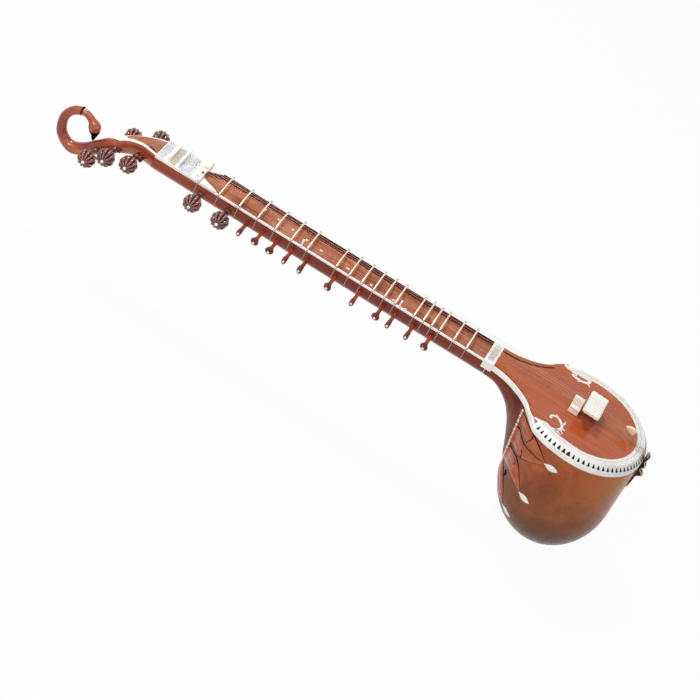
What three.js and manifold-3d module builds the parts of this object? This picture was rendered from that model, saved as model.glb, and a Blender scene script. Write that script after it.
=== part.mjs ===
// A sitar: a long fretted lute with a deep gourd, a hollow neck, tuning pegs and a curled head.
// Millimetres. The neck runs along X with the head at -X and the tail at +X, Z points out of the
// soundboard, and the small pegs stand out on the -Y side. The origin is the gourd's lowest point.
import * as THREE from 'three';
import { mergeVertices } from 'three/addons/utils/BufferGeometryUtils.js';
import Module from 'manifold-3d';

const wasm = await Module();
wasm.setup();

// Main strings, from the nut to the middle of the bridge
const bridgeX = 14.5;
const stringLength = 917.5;

// Clearances
const gap = 0.3;
const overrun = 6;
const weldDistance = 0.0001;

// Plan of the face, measured from the middle of its round part
const rimLength = 130;
const rimHalfWidth = 143;
const rimCentre = 17;
const headRoundness = 2.45;
const tailRoundness = 2;
const shoulderStartShare = 0.877;
const shoulderEndShare = 0.2229;
const shoulderEnd = bridgeX - stringLength * shoulderEndShare;
const shoulderPullX = 6;
const shoulderPullY = 10.7;
const waistPull = 50;

// Gourd
const gourdDepth = 284;
const gourdWall = 7;
const bellyDepth = 158;
const bellyShift = 15;
const bellyCentre = rimCentre + bellyShift;
const bellyLengthShare = 0.892;
const bellyWidthShare = 0.958;
const rimLip = 1;
const seamX = -101;
const seamLeanShare = 0.1275;

// Soundboard and its binding
const boardThickness = 4;
const ringFlat = 16;
const ringBevel = 10;
const ringRise = 1.5;
const ringHeight = 20;
const ringSkin = 3;
const ringEndShare = 0.6462;
const stripWidth = 2;
const stripHeight = 11.5;
const stripSkin = 0.7;

// Neck, fretboard and junction plate
const neckHalfWidth = 37.5;
const neckSide = 12;
const neckDepth = 43;
const neckWall = 6;
const nutSetback = 47;
const nutX = bridgeX - stringLength;
const neckEnd = nutX - nutSetback;
const railWidth = 5.5;
const edgeWidth = 4;
const edgeHeight = 3.4;
const boardRecess = 8;
const ledgeWidth = 1.7;
const plateLength = 22;
const plateSkin = 1.6;
const plateSide = 15;
const heelWall = 8;
const heelEnd = -60;
const heelDepthShare = 0.768;
const heelWidthShare = 0.601;

// The face leans down towards the tail by this share of the way from the neck
const leanShare = 0.04;

// Nut plate, nut and string guide
const nutLength = 5;
const nutHeight = 14;
const ridgeWidth = 6;
const guideSetback = 22;
const guideLength = 6;
const guideHeight = 12;
const guideHoleDrop = 3;
const guideBore = 1.8;
const nutPlateSkin = 1.2;
const tipSetback = 40;
const nearArm = 88;
const farArm = 78;

// Head
const headReach = 200;
const headDrop = 115;
const slotLength = 72;
const slotDepth = 34;
const slotBorder = 9;
const tunnelRadius = 8.5;
const tunnelRise = 2.5;
const tunnelLength = 54;
const swanReach = 40.5;
const swanDrop = 44.4;
const swanRadius = 12.8;

// Bridges
const bridgeLength = 37;
const bridgeHalfWidth = 38;
const bridgeHeight = 33;
const bridgePlate = 8;
const bridgeWave = 1.2;
const bridgeWaves = 9;
const bridgeLegLength = 31;
const bridgeLegHalfWidth = 23;
const bridgeArchHalfWidth = 15.5;
const bridgeArchHeight = 19;
const smallBridgeSetback = 31;
const smallBridgeLength = 21;
const smallBridgeHalfWidth = 23.5;
const smallBridgeHeight = 12.5;
const smallBridgeFoot = 4;
const smallBridgeArch = 8;

// Main pegs
const ballRadius = 18.5;
const ballReach = 41;
const farBallReach = 35;
const fluteShare = 0.88;
const pegRoot = 5.4;
const pegTip = 3.8;
const pegTipReach = 2;
const collarRadius = 7.5;
const buttonRadius = 4;
const buttonLength = 2;

// Small pegs
const smallPegs = 11;
const smallPegRoot = 4;
const smallPegTip = 2.8;
const smallPegZ = -18.5;
const smallPegReach = 44;
const knobRadius = 8.4;
const knobHalfLength = 8;
const knobFlatShare = 0.62;
const knobButton = 2.2;

// Frets
const fretLengthShare = 0.9657;
const fretRadius = 1.8;
const fretRise = 8;
const fretOverhang = 4;

// Strings
const stringRadius = 0.6;
const thinStringRadius = 0.45;
const passClear = 1.5;
const bridgeFirstY = 18;
const bridgeLastY = -34;
const nutSpread = 28;
const sympatheticSpread = 24;
const grommetRadius = 1.6;
const grommetOffset = 11;
const firstGrommetY = 20;
const lastGrommetY = -28.5;
const hookBar = 1.5;
const hookSetback = 3.5;
const hookZ = 3.6;
const innerBar = 1.2;
const innerBarSetback = 5;
const innerBarZ = -1.6;
const tailSpread = 20;
const postRadius = 2.6;
const postHeight = 15;

// Tuning bead
const beadSetback = 51;
const beadLength = 23;
const beadHeight = 17;
const beadWidth = 6;
const beadBore = 1.3;

// Tailpiece
const tailDepth = 83;
const tailThickness = 5;
const tailBulge = 11;
const tailWidth = 18;
const tailTop = 1.8;

const ivory = new THREE.MeshStandardMaterial({ color: 0xece9e0, roughness: 0.35, metalness: 0 });
const redWood = new THREE.MeshStandardMaterial({ color: 0x8c4632, roughness: 0.3, metalness: 0 });
const boardWood = new THREE.MeshStandardMaterial({ color: 0xc36e4b, roughness: 0.3, metalness: 0 });
const fretboardWood = new THREE.MeshStandardMaterial({ color: 0xbe7d5f, roughness: 0.5, metalness: 0 });
const gourdSkin = new THREE.MeshStandardMaterial({ color: 0xa5643c, roughness: 0.35, metalness: 0 });
const darkWood = new THREE.MeshStandardMaterial({ color: 0x5a2a1e, roughness: 0.3, metalness: 0 });
const brass = new THREE.MeshStandardMaterial({ color: 0xd8c9a0, roughness: 0.3, metalness: 0.9 });
const steel = new THREE.MeshStandardMaterial({ color: 0xc8c8c8, roughness: 0.3, metalness: 0.9 });

const face = new THREE.Group();
const rimEnd = rimCentre + rimLength;
const bellyLength = rimLength * bellyLengthShare;
const bellyHalfWidth = rimHalfWidth * bellyWidthShare;
const heelMaxDepth = gourdDepth * heelDepthShare;
const heelMaxHalfWidth = rimHalfWidth * heelWidthShare;
const guideX = nutX - guideSetback;
const nutPlateTip = nutX + tipSetback;
const nutPlateNear = nutX + nearArm;
const nutPlateFar = nutX + farArm;
const slotEnd = neckEnd - slotLength;
const tunnelEnd = slotEnd - tunnelLength;
const smallBridgeX = bridgeX - smallBridgeSetback;
const beadX = rimEnd - beadSetback;
const innerBarX = rimEnd - innerBarSetback;
const hookX = rimEnd + hookSetback;

// A place along the neck, by its share of the string's length from the bridge
const alongString = (share) => bridgeX - stringLength * share;

// A geometry as a solid that can be joined and cut
function solid(geometry) {
  const bare = geometry.clone();
  bare.deleteAttribute('normal');
  bare.deleteAttribute('uv');
  const merged = mergeVertices(bare, weldDistance);
  const vertProperties = new Float32Array(merged.attributes.position.array);
  const triVerts = new Uint32Array(merged.index.array);
  return new wasm.Manifold(new wasm.Mesh({ numProp: 3, vertProperties, triVerts }));
}

function geometryOf(shape) {
  const mesh = shape.getMesh();
  const geometry = new THREE.BufferGeometry();
  const corners = new Float32Array(mesh.vertProperties);
  geometry.setAttribute('position', new THREE.BufferAttribute(corners, 3));
  geometry.setIndex(new THREE.BufferAttribute(new Uint32Array(mesh.triVerts), 1));
  return geometry;
}

// How far the leaning face has dropped at a place along the neck
const drop = (x) => leanShare * Math.max(x - shoulderEnd, 0);

function leaning(geometry) {
  const p = geometry.attributes.position;
  for (let i = 0; i < p.count; i += 1) {
    p.setZ(i, p.getZ(i) - drop(p.getX(i)));
  }
  return geometry;
}

function place(name, shape, material) {
  const geometry = shape instanceof wasm.Manifold ? geometryOf(shape) : shape;
  const mesh = new THREE.Mesh(geometry, material);
  mesh.name = name;
  face.add(mesh);
  return mesh;
}

// The triangles of a flat ring, turned the way that the ring runs
function capOf(ring) {
  const normal = new THREE.Vector3();
  ring.forEach((p, i) => normal.add(p.clone().cross(ring[(i + 1) % ring.length])));
  const side = ring[1].clone().sub(ring[0]).normalize();
  const up = new THREE.Vector3().crossVectors(normal.normalize(), side);
  const flat = ring.map((p) => new THREE.Vector2(p.dot(side), p.dot(up)));
  const isTurned = ([i, j, k]) => flat[j].clone().sub(flat[i]).cross(flat[k].clone().sub(flat[i])) < 0;
  const faces = THREE.ShapeUtils.triangulateShape(flat, []);
  return faces.map((face) => (isTurned(face) ? [face[0], face[2], face[1]] : face));
}

// A closed skin over rings of equal length, with flat ends or a last point
function loft(rings, lastPoint) {
  const points = rings.flat();
  const count = rings[0].length;
  const triangles = [];
  for (let r = 0; r + 1 < rings.length; r += 1) {
    for (let i = 0; i < count; i += 1) {
      const a = r * count + i;
      const b = r * count + (i + 1) % count;
      triangles.push(a, b, b + count, a, b + count, a + count);
    }
  }
  capOf(rings[0]).forEach(([i, j, k]) => triangles.push(i, k, j));
  const lastStart = (rings.length - 1) * count;
  if (lastPoint) {
    points.push(lastPoint);
    for (let i = 0; i < count; i += 1) {
      triangles.push(points.length - 1, lastStart + i, lastStart + (i + 1) % count);
    }
  } else {
    capOf(rings.at(-1)).forEach(([i, j, k]) => triangles.push(lastStart + i, lastStart + j, lastStart + k));
  }
  const geometry = new THREE.BufferGeometry().setFromPoints(points);
  geometry.setIndex(triangles);
  return volumeOf(geometry) < 0 ? flipped(geometry) : geometry;
}

function volumeOf(geometry) {
  const p = geometry.attributes.position;
  const corner = (i) => new THREE.Vector3().fromBufferAttribute(p, geometry.index.getX(i));
  let six = 0;
  for (let i = 0; i < geometry.index.count; i += 3) {
    six += corner(i).dot(corner(i + 1).cross(corner(i + 2)));
  }
  return six / 6;
}

function flipped(geometry) {
  const old = Array.from(geometry.index.array);
  const turned = old.map((_, i) => old[i - (i % 3) + ((3 - (i % 3)) % 3)]);
  geometry.setIndex(turned);
  return geometry;
}

// Shapes drawn in plan, in a cross-section of the neck, and in the side view
function inPlan(shape, low, high) {
  const geometry = new THREE.ExtrudeGeometry(shape, { depth: high - low, bevelEnabled: false });
  return geometry.translate(0, 0, low);
}

function alongNeck(shape, from, to) {
  const geometry = new THREE.ExtrudeGeometry(shape, { depth: to - from, bevelEnabled: false });
  const turn = new THREE.Matrix4().makeBasis(
    new THREE.Vector3(0, 1, 0), new THREE.Vector3(0, 0, 1), new THREE.Vector3(1, 0, 0));
  return geometry.applyMatrix4(turn).translate(from, 0, 0);
}

function acrossNeck(shape, low, high) {
  const geometry = new THREE.ExtrudeGeometry(shape, { depth: high - low, bevelEnabled: false });
  return geometry.rotateX(Math.PI / 2).translate(0, high, 0);
}

function polygon(points) {
  return new THREE.Shape(points.map(([x, y]) => new THREE.Vector2(x, y)));
}

function rectangle(x0, x1, y0, y1) {
  return polygon([[x0, y0], [x1, y0], [x1, y1], [x0, y1]]);
}

function box(x0, x1, y0, y1, z0, z1) {
  return solid(inPlan(rectangle(x0, x1, y0, y1), z0, z1));
}

// A round bar along a run of points that stays near the X and Z directions
function rod(points, radii, sides = 4, squash = 1) {
  const radiusAt = (i) => (Array.isArray(radii) ? radii[i] : radii);
  const rings = points.map((p, i) => {
    const before = points[Math.max(i - 1, 0)];
    const after = points[Math.min(i + 1, points.length - 1)];
    const along = after.clone().sub(before).normalize();
    const side = new THREE.Vector3(0, 1, 0).addScaledVector(along, -along.y).normalize();
    const up = new THREE.Vector3().crossVectors(along, side);
    return Array.from({ length: sides }, (_, k) => {
      const angle = (k + 0.5) * 2 * Math.PI / sides;
      return p.clone()
        .addScaledVector(side, radiusAt(i) * squash * Math.cos(angle))
        .addScaledVector(up, radiusAt(i) * Math.sin(angle));
    });
  });
  return loft(rings);
}

const at = (x, y, z) => new THREE.Vector3(x, y, z);
const onFace = (x, y, z) => at(x, y, z - drop(x));
const mix = THREE.MathUtils.lerp;

// A hole along Y, wide enough for a round pin of the given radii at its two ends
function crossHole(x, z, y0, r0, y1, r1, sides = 8) {
  const swell = 1 / Math.cos(Math.PI / sides);
  const cone = new THREE.CylinderGeometry((r1 + gap) * swell, (r0 + gap) * swell, y1 - y0, sides);
  return solid(cone.translate(x, (y0 + y1) / 2, z));
}

// The edge of the face
const shoulderAngle = Math.PI - Math.acos(Math.pow(shoulderStartShare, headRoundness / 2));
const ringEndAngle = Math.PI - Math.acos(Math.pow(ringEndShare, headRoundness / 2));

function roundEdge(angle, centre, length, halfWidth, headPower, tailPower) {
  const power = 2 / (Math.cos(angle) < 0 ? headPower : tailPower);
  const c = Math.cos(angle);
  const s = Math.sin(angle);
  return new THREE.Vector2(
    centre + length * Math.sign(c) * Math.pow(Math.abs(c), power),
    halfWidth * Math.sign(s) * Math.pow(Math.abs(s), power));
}

function rimPoint(angle, inset) {
  const length = rimLength - inset;
  return roundEdge(angle, rimCentre, length, rimHalfWidth - inset, headRoundness, tailRoundness);
}

// The edge from the end of the round part, at share 0, to the neck, at share 1
function shoulderPoint(share, inset) {
  const start = rimPoint(shoulderAngle, inset);
  const end = new THREE.Vector2(shoulderEnd, neckHalfWidth + stripSkin - inset);
  const curve = new THREE.CubicBezierCurve(
    start,
    new THREE.Vector2(start.x - shoulderPullX, start.y - shoulderPullY),
    new THREE.Vector2(shoulderEnd + waistPull, end.y),
    end);
  return curve.getPoint(share);
}

const rimSteps = 22;
const shoulderSteps = 10;

function halfEdge(inset) {
  const points = [];
  for (let i = 0; i <= rimSteps; i += 1) {
    points.push(rimPoint(shoulderAngle * i / rimSteps, inset));
  }
  for (let i = 1; i <= shoulderSteps; i += 1) {
    points.push(shoulderPoint(i / shoulderSteps, inset));
  }
  return points;
}

// Half the width of the face at a place along the neck
const edgeTable = halfEdge(0);
function halfWidthAt(x) {
  const i = edgeTable.findIndex((p) => p.x <= x);
  if (i <= 0) {
    return i === 0 ? 0 : neckHalfWidth + stripSkin;
  }
  const a = edgeTable[i - 1];
  const b = edgeTable[i];
  return mix(a.y, b.y, (a.x - x) / (a.x - b.x));
}

// A band along the face's edge; its section is a list of insets and heights
function ringBand(section, endAngle, steps) {
  const rings = [];
  for (let i = -steps; i <= steps; i += 1) {
    const angle = endAngle * i / steps;
    rings.push(section.map(([inset, z]) => {
      const p = rimPoint(angle, inset);
      return at(p.x, p.y, z);
    }));
  }
  return solid(loft(rings));
}

function shoulderBand(section, side, from) {
  const rings = [];
  const place2 = (p, z) => at(p.x, side * p.y, z);
  for (let i = 0; i <= 4; i += 1) {
    const angle = mix(from, shoulderAngle, i / 4);
    rings.push(section.map(([inset, z]) => place2(rimPoint(angle, inset), z)));
  }
  for (let i = 1; i <= shoulderSteps; i += 1) {
    rings.push(section.map(([inset, z]) => place2(shoulderPoint(i / shoulderSteps, inset), z)));
  }
  return solid(loft(rings));
}

// Binding: a bevelled ring round the tail that runs on as a strip along each shoulder
const bevelDrop = ringHeight / 2;
const ringSection = [
  [ringSkin, -ringHeight],
  [0, -ringHeight],
  [0, -bevelDrop],
  [ringBevel, ringRise],
  [ringBevel + ringFlat, ringRise],
  [ringBevel + ringFlat, gap],
  [ringBevel + ringSkin / 2, gap],
  [ringSkin, -bevelDrop + ringSkin / 2],
];
const ringRoom = [
  [ringSkin + gap, -ringHeight - gap],
  [ringSkin + gap, -bevelDrop + ringSkin / 2 - gap],
  [ringBevel + ringSkin / 2 + gap, 0],
  [ringBevel + ringSkin / 2 + gap, overrun],
  [-overrun, overrun],
  [-overrun, -ringHeight - gap],
];
const stripSection = [[stripWidth, -stripHeight], [0, -stripHeight], [0, 0], [stripWidth, 0]];
const stripRoom = [
  [stripWidth + gap, -stripHeight - gap],
  [stripWidth + gap, overrun],
  [-overrun, overrun],
  [-overrun, -stripHeight - gap],
];
const ringOverlap = 0.02;
const bindingRing = ringBand(ringSection, ringEndAngle, 24)
  .add(shoulderBand(stripSection, 1, ringEndAngle - ringOverlap))
  .add(shoulderBand(stripSection, -1, ringEndAngle - ringOverlap));
const bindingRoom = ringBand(ringRoom, ringEndAngle + ringOverlap, 24)
  .add(shoulderBand(stripRoom, 1, ringEndAngle))
  .add(shoulderBand(stripRoom, -1, ringEndAngle));
const trimStart = shoulderEnd - rimLength;
const shoulderTrim = box(
  trimStart, shoulderEnd + gap, -rimHalfWidth, rimHalfWidth, -gourdDepth, overrun);
place('binding_ring', leaning(geometryOf(bindingRing.subtract(shoulderTrim))), ivory);

// Gourd: a rim like the face's edge, nearly upright sides, and a round bottom
const gourdSides = 36;
const gourdLevels = 4;
const bottomLevels = 6;

function gourdRing(depth, inset) {
  const share = THREE.MathUtils.clamp(depth / bellyDepth, 0, 1);
  const below = Math.max(depth - bellyDepth, 0) / (gourdDepth - bellyDepth - inset);
  const shrink = Math.sqrt(Math.max(1 - below * below, 0));
  const ring = [];
  for (let i = 0; i < gourdSides; i += 1) {
    const p = roundEdge(
      2 * Math.PI * i / gourdSides,
      mix(rimCentre, bellyCentre, share),
      (mix(rimLength - rimLip, bellyLength, share) - inset) * shrink,
      (mix(rimHalfWidth - rimLip, bellyHalfWidth, share) - inset) * shrink,
      mix(headRoundness, 2, share),
      tailRoundness);
    ring.push(at(p.x, p.y, -depth));
  }
  return ring;
}

function gourdSolid(top, inset) {
  const rings = [];
  for (let i = 0; i <= gourdLevels; i += 1) {
    rings.push(gourdRing(mix(top, bellyDepth, i / gourdLevels), inset));
  }
  const lowest = gourdDepth - inset;
  for (let i = 1; i < bottomLevels; i += 1) {
    const angle = i / bottomLevels * Math.PI / 2;
    rings.push(gourdRing(bellyDepth + (lowest - bellyDepth) * Math.sin(angle), inset));
  }
  return solid(loft(rings, at(bellyCentre, 0, -lowest)));
}

const gourdOuter = gourdSolid(boardThickness + gap, 0);
const gourdInner = gourdSolid(-overrun, gourdWall + rimLip);
const seamNormal = new THREE.Vector3(1, 0, seamLeanShare).normalize();
const seamOffset = seamNormal.x * seamX;
const seamUp = seamNormal.toArray();
const seamDown = seamNormal.clone().negate().toArray();
const gourd = gourdOuter.subtract(gourdInner).trimByPlane(seamUp, seamOffset + gap / 2);
place('gourd', leaning(geometryOf(gourd.subtract(bindingRoom))), gourdSkin);

// Heel: the carved block between the neck and the gourd, hollow like both
const heelStart = shoulderEnd - plateLength / 2;
const heelXShares = [1, 0.885, 0.731, 0.585, 0.438, 0.292, 0.215, 0.077, 0];
const heelDepthShares = [0.004, 0.012, 0.065, 0.147, 0.3, 0.547, 0.706, 0.912, 1];
const heelArcSteps = 14;

function heelRing(x, depth, inset, top) {
  const w = Math.min(halfWidthAt(x) - stripSkin, heelMaxHalfWidth) - inset;
  const round = depth - inset - neckSide;
  const ring = [at(x, w, top)];
  for (let i = 0; i <= heelArcSteps; i += 1) {
    const angle = Math.PI * i / heelArcSteps;
    ring.push(at(x, w * Math.cos(angle), -neckSide - round * Math.sin(angle)));
  }
  ring.push(at(x, -w, top));
  return ring;
}

function heelSolid(inset, start, top) {
  const rings = heelXShares.map((share, i) => {
    const x = mix(heelEnd, shoulderEnd + inset, share);
    return heelRing(x, mix(neckDepth, heelMaxDepth, heelDepthShares[i]), inset, top);
  });
  return solid(loft([heelRing(start, neckDepth, inset, top), ...rings]));
}

const boardSeat = -boardThickness - gap;
const heelBlock = box(heelStart + gap, shoulderEnd - gap, -neckHalfWidth, neckHalfWidth, -neckSide, 0);
const heelOuter = heelSolid(0, heelStart + gap, boardSeat);
const heelInner = heelSolid(heelWall, shoulderEnd + heelWall / 2, overrun);
const heel = heelOuter.add(gourdOuter)
  .add(heelBlock)
  .subtract(heelInner)
  .subtract(gourdInner)
  .trimByPlane(seamDown, -seamOffset + gap / 2)
  .subtract(bindingRoom.subtract(shoulderTrim));
place('neck_heel', leaning(geometryOf(heel)), redWood);

// Soundboard: a flat plate under the binding
const leftEdge = halfEdge(0);
const rightEdge = leftEdge.slice(1).map((p) => new THREE.Vector2(p.x, -p.y)).reverse();
const boardShape = new THREE.Shape([...leftEdge, ...rightEdge]);
const soundboard = solid(inPlan(boardShape, -boardThickness, 0))
  .subtract(bindingRoom)
  .subtract(shoulderTrim);
place('soundboard', leaning(geometryOf(soundboard)), boardWood);

// Junction plate: covers the joint of neck and heel and folds down both sides
const plateInner = neckHalfWidth + gap;
const plateOuter = plateInner + plateSkin;
const plateTop = gap + plateSkin;
const junctionShape = polygon([
  [-plateOuter, -plateSide], [-plateInner, -plateSide], [-plateInner, gap], [plateInner, gap],
  [plateInner, -plateSide], [plateOuter, -plateSide], [plateOuter, plateTop], [-plateOuter, plateTop],
]);
place('junction_plate', alongNeck(junctionShape, shoulderEnd - plateLength, shoulderEnd), ivory);

// Neck: a trough with rails that stand above a ledge for the fretboard
const innerHalf = neckHalfWidth - railWidth;
const ledgeHalf = innerHalf - ledgeWidth;
const boardBottom = -boardRecess - boardThickness;
const neckShape = new THREE.Shape();
neckShape.moveTo(neckHalfWidth, -edgeHeight - gap);
neckShape.lineTo(neckHalfWidth - edgeWidth - gap, -edgeHeight - gap);
neckShape.lineTo(neckHalfWidth - edgeWidth - gap, 0);
neckShape.lineTo(innerHalf, 0);
neckShape.lineTo(innerHalf, boardBottom - gap);
neckShape.lineTo(ledgeHalf, boardBottom - gap);
const hollowDepth = neckDepth - neckWall + boardBottom - gap;
neckShape.absellipse(0, boardBottom - gap, ledgeHalf, hollowDepth, 0, -Math.PI, true);
neckShape.lineTo(-innerHalf, boardBottom - gap);
neckShape.lineTo(-innerHalf, 0);
neckShape.lineTo(-neckHalfWidth + edgeWidth + gap, 0);
neckShape.lineTo(-neckHalfWidth + edgeWidth + gap, -edgeHeight - gap);
neckShape.lineTo(-neckHalfWidth, -edgeHeight - gap);
neckShape.lineTo(-neckHalfWidth, -neckSide);
neckShape.absellipse(0, -neckSide, neckHalfWidth, neckDepth - neckSide, Math.PI, 2 * Math.PI, false);
const neckGeometry = new THREE.ExtrudeGeometry(neckShape, {
  depth: heelStart - gap - neckEnd, bevelEnabled: false, curveSegments: 7,
});
neckGeometry.applyMatrix4(new THREE.Matrix4().makeBasis(at(0, 1, 0), at(0, 0, 1), at(1, 0, 0)));
neckGeometry.translate(neckEnd, 0, 0);
let neck = solid(neckGeometry);

// Frets stand at equal-tempered steps from the nut, without the steps that the scale leaves out
const fretSteps = [1, 2, 3, 4, 5, 6, 7, 9, 10, 11, 12, 13, 14, 16, 17, 18, 19, 21, 23];
const fretLength = stringLength * fretLengthShare;
const fretPlaces = fretSteps.map((step) => nutX + fretLength * (1 - Math.pow(2, -step / 12)));

const fretParts = 6;
function fretGeometry() {
  const seat = gap + fretRadius * Math.sin(Math.PI / 3);
  const points = [];
  for (let i = 0; i <= fretParts; i += 1) {
    const share = mix(-1, 1, i / fretParts);
    points.push(at(0, neckHalfWidth * share, seat + fretRise * (1 - share * share)));
  }
  points.push(at(0, neckHalfWidth + fretOverhang, seat));
  const rings = points.map((p, i) => {
    const after = points[Math.min(i + 1, points.length - 1)];
    const along = after.clone().sub(points[Math.max(i - 1, 0)]).normalize();
    const up = at(0, -along.z, along.y);
    return Array.from({ length: 6 }, (_, k) => {
      const angle = k * Math.PI / 3;
      return p.clone()
        .addScaledVector(at(1, 0, 0), fretRadius * Math.cos(angle))
        .addScaledVector(up, fretRadius * Math.sin(angle));
    });
  });
  return loft(rings);
}

const fretBar = fretGeometry();
fretPlaces.forEach((x, i) => {
  const fret = place(`fret_${String(i + 1).padStart(2, '0')}`, fretBar, brass);
  fret.position.set(x, 0, x < nutPlateNear ? nutPlateSkin + gap : 0);
});

// Small pegs for the strings that ring along
const smallPegPlaceShares = [
  0.8147, 0.7777, 0.7417, 0.7047, 0.6676, 0.6, 0.54, 0.4834, 0.4529, 0.4081, 0.3657];
const smallPegPlaces = smallPegPlaceShares.map(alongString);
const smallPegTurnShares = [0.5, 0.1, 0, 0.45, 0.4, 0.15, 0.5, 0.05, 0.5, 0.45, 0.1];

function smallPegGeometry() {
  const root = neckHalfWidth;
  const centre = root + smallPegReach;
  const profile = [
    [0, -root],
    [smallPegTip, -root],
    [smallPegRoot, root],
    [smallPegRoot, centre - knobHalfLength * 1.1],
    [knobRadius * 0.62, centre - knobHalfLength * 0.75],
    [knobRadius, centre - knobHalfLength * 0.1],
    [knobRadius * 0.85, centre + knobHalfLength * 0.55],
    [knobButton, centre + knobHalfLength],
    [0, centre + knobHalfLength],
  ];
  const geometry = new THREE.LatheGeometry(profile.map(([r, y]) => new THREE.Vector2(r, y)), 8);
  const p = geometry.attributes.position;
  for (let i = 0; i < p.count; i += 1) {
    if (p.getY(i) > centre - knobHalfLength && p.getY(i) < centre + knobHalfLength * 0.9) {
      p.setZ(i, p.getZ(i) * knobFlatShare);
    }
  }
  return geometry;
}

const smallPegShape = geometryOf(solid(smallPegGeometry()));
smallPegPlaces.forEach((x, i) => {
  const peg = place(`small_peg_${String(i + 1).padStart(2, '0')}`, smallPegShape, darkWood);
  peg.position.set(x, 0, smallPegZ);
  peg.rotation.set(0, smallPegTurnShares[i] * Math.PI, Math.PI, 'ZYX');
  const reach = neckHalfWidth + overrun;
  neck = neck.subtract(crossHole(x, smallPegZ, -reach, smallPegRoot, reach, smallPegTip));
});

// Fretboard: a plank let in between the rails, with a hole beside each small peg for its string
const grommets = smallPegPlaces.map((x, i) => at(
  x + grommetOffset, mix(firstGrommetY, lastGrommetY, i / (smallPegs - 1)), -boardRecess));
let fretboard = box(neckEnd, heelStart - gap, -innerHalf + gap, innerHalf - gap, boardBottom, -boardRecess);
grommets.forEach((p) => {
  const drill = new THREE.CylinderGeometry(grommetRadius, grommetRadius, boardThickness * 3, 8);
  fretboard = fretboard.subtract(solid(drill.rotateX(Math.PI / 2).translate(p.x, p.y, p.z)));
});
place('fretboard', fretboard, fretboardWood);

// Edging let into the outer corner of each rail: white on the near side and dark on the far side
const edgeStart = neckEnd;
const edgeStop = heelStart - gap;
const nearEdge = box(edgeStart, edgeStop, -neckHalfWidth, -neckHalfWidth + edgeWidth, -edgeHeight, 0);
const farEdge = box(edgeStart, edgeStop, neckHalfWidth - edgeWidth, neckHalfWidth, -edgeHeight, 0);
place('neck_edging_near', nearEdge, ivory);
place('neck_edging_far', farEdge, darkWood);

// Nut plate: covers the top of the neck, with a pointed opening towards the frets
const nutPlateShape = polygon([
  [neckEnd, -neckHalfWidth], [nutPlateNear, -neckHalfWidth], [nutPlateNear, -innerHalf],
  [nutPlateTip + (nutPlateNear - nutPlateTip) / 3, -innerHalf / 2], [nutPlateTip, 0],
  [nutPlateTip + (nutPlateFar - nutPlateTip) / 3, innerHalf / 2],
  [nutPlateFar, innerHalf], [nutPlateFar, neckHalfWidth], [neckEnd, neckHalfWidth],
]);
const nutPlate = inPlan(nutPlateShape, gap, gap + nutPlateSkin);
place('nut_plate', nutPlate, ivory);

// Nut and string guide stand on the nut plate
const nutFoot = gap + nutPlateSkin + gap;
const ridgeHalf = innerHalf;
function ridgeShape(height) {
  return polygon([
    [-ridgeHalf, nutFoot],
    [ridgeHalf, nutFoot],
    [ridgeHalf - ridgeWidth / 2, height],
    [-ridgeHalf + ridgeWidth / 2, height],
  ]);
}
place('nut', alongNeck(ridgeShape(nutHeight), nutX - nutLength / 2, nutX + nutLength / 2), ivory);

const mainStrings = 5;
const stringAtNut = (i) => mix(nutSpread / 2, -nutSpread / 2, i / (mainStrings - 1));
const stringAtBridge = (i) => mix(bridgeFirstY, bridgeLastY, i / (mainStrings + 1));
const guideHoleZ = guideHeight - guideHoleDrop;
let guide = solid(alongNeck(ridgeShape(guideHeight), guideX - guideLength / 2, guideX + guideLength / 2));
for (let i = 0; i < mainStrings; i += 1) {
  const drill = new THREE.CylinderGeometry(guideBore, guideBore, guideLength * 2, 8);
  guide = guide.subtract(solid(drill.rotateZ(Math.PI / 2).translate(guideX, stringAtNut(i), guideHoleZ)));
}
place('string_guide', guide, ivory);

// Head: the pegbox narrows and drops, and runs on as a curled tube
const headXShares = [
  0, 0.075, 0.155, 0.25, 0.33, 0.45, 0.58, 0.67, 0.7835, 0.881, 0.966, 0.997, 0.976, 0.9235, 0.856];
const headZShares = [
  0.104, 0.11, 0.136, 0.209, 0.296, 0.461, 0.652, 0.809, 0.922, 0.892, 0.752, 0.539, 0.378, 0.265, 0.208];
const headWidthShares = [
  1, 0.853, 0.667, 0.507, 0.427, 0.387, 0.347, 0.345, 0.344, 0.304, 0.283, 0.256, 0.245, 0.24, 0.232];
const headTopShares = [
  0.32, 0.32, 0.333, 0.373, 0.4, 0.4, 0.347, 0.345, 0.344, 0.304, 0.283, 0.256, 0.245, 0.24, 0.232];
const headBottomShares = [
  0.827, 0.82, 0.78, 0.67, 0.55, 0.427, 0.347, 0.345, 0.344, 0.304, 0.283, 0.256, 0.245, 0.24, 0.232];
const headTopPower = [8, 6, 4, 3, 2.5, 2, 2, 2, 2, 2, 2, 2, 2, 2, 2];
const headMiddle = headXShares.map((share, i) => at(
  neckEnd - gap - headReach * share, 0, -headDrop * headZShares[i]));
const headSides = 16;

function headAlong(i) {
  const after = headMiddle[Math.min(i + 1, headMiddle.length - 1)];
  const before = headMiddle[Math.max(i - 1, 0)];
  const ends = { 0: at(-1, 0, 0), [headMiddle.length - 1]: at(1, 0, 0) };
  return ends[i] ?? after.clone().sub(before).normalize();
}

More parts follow.
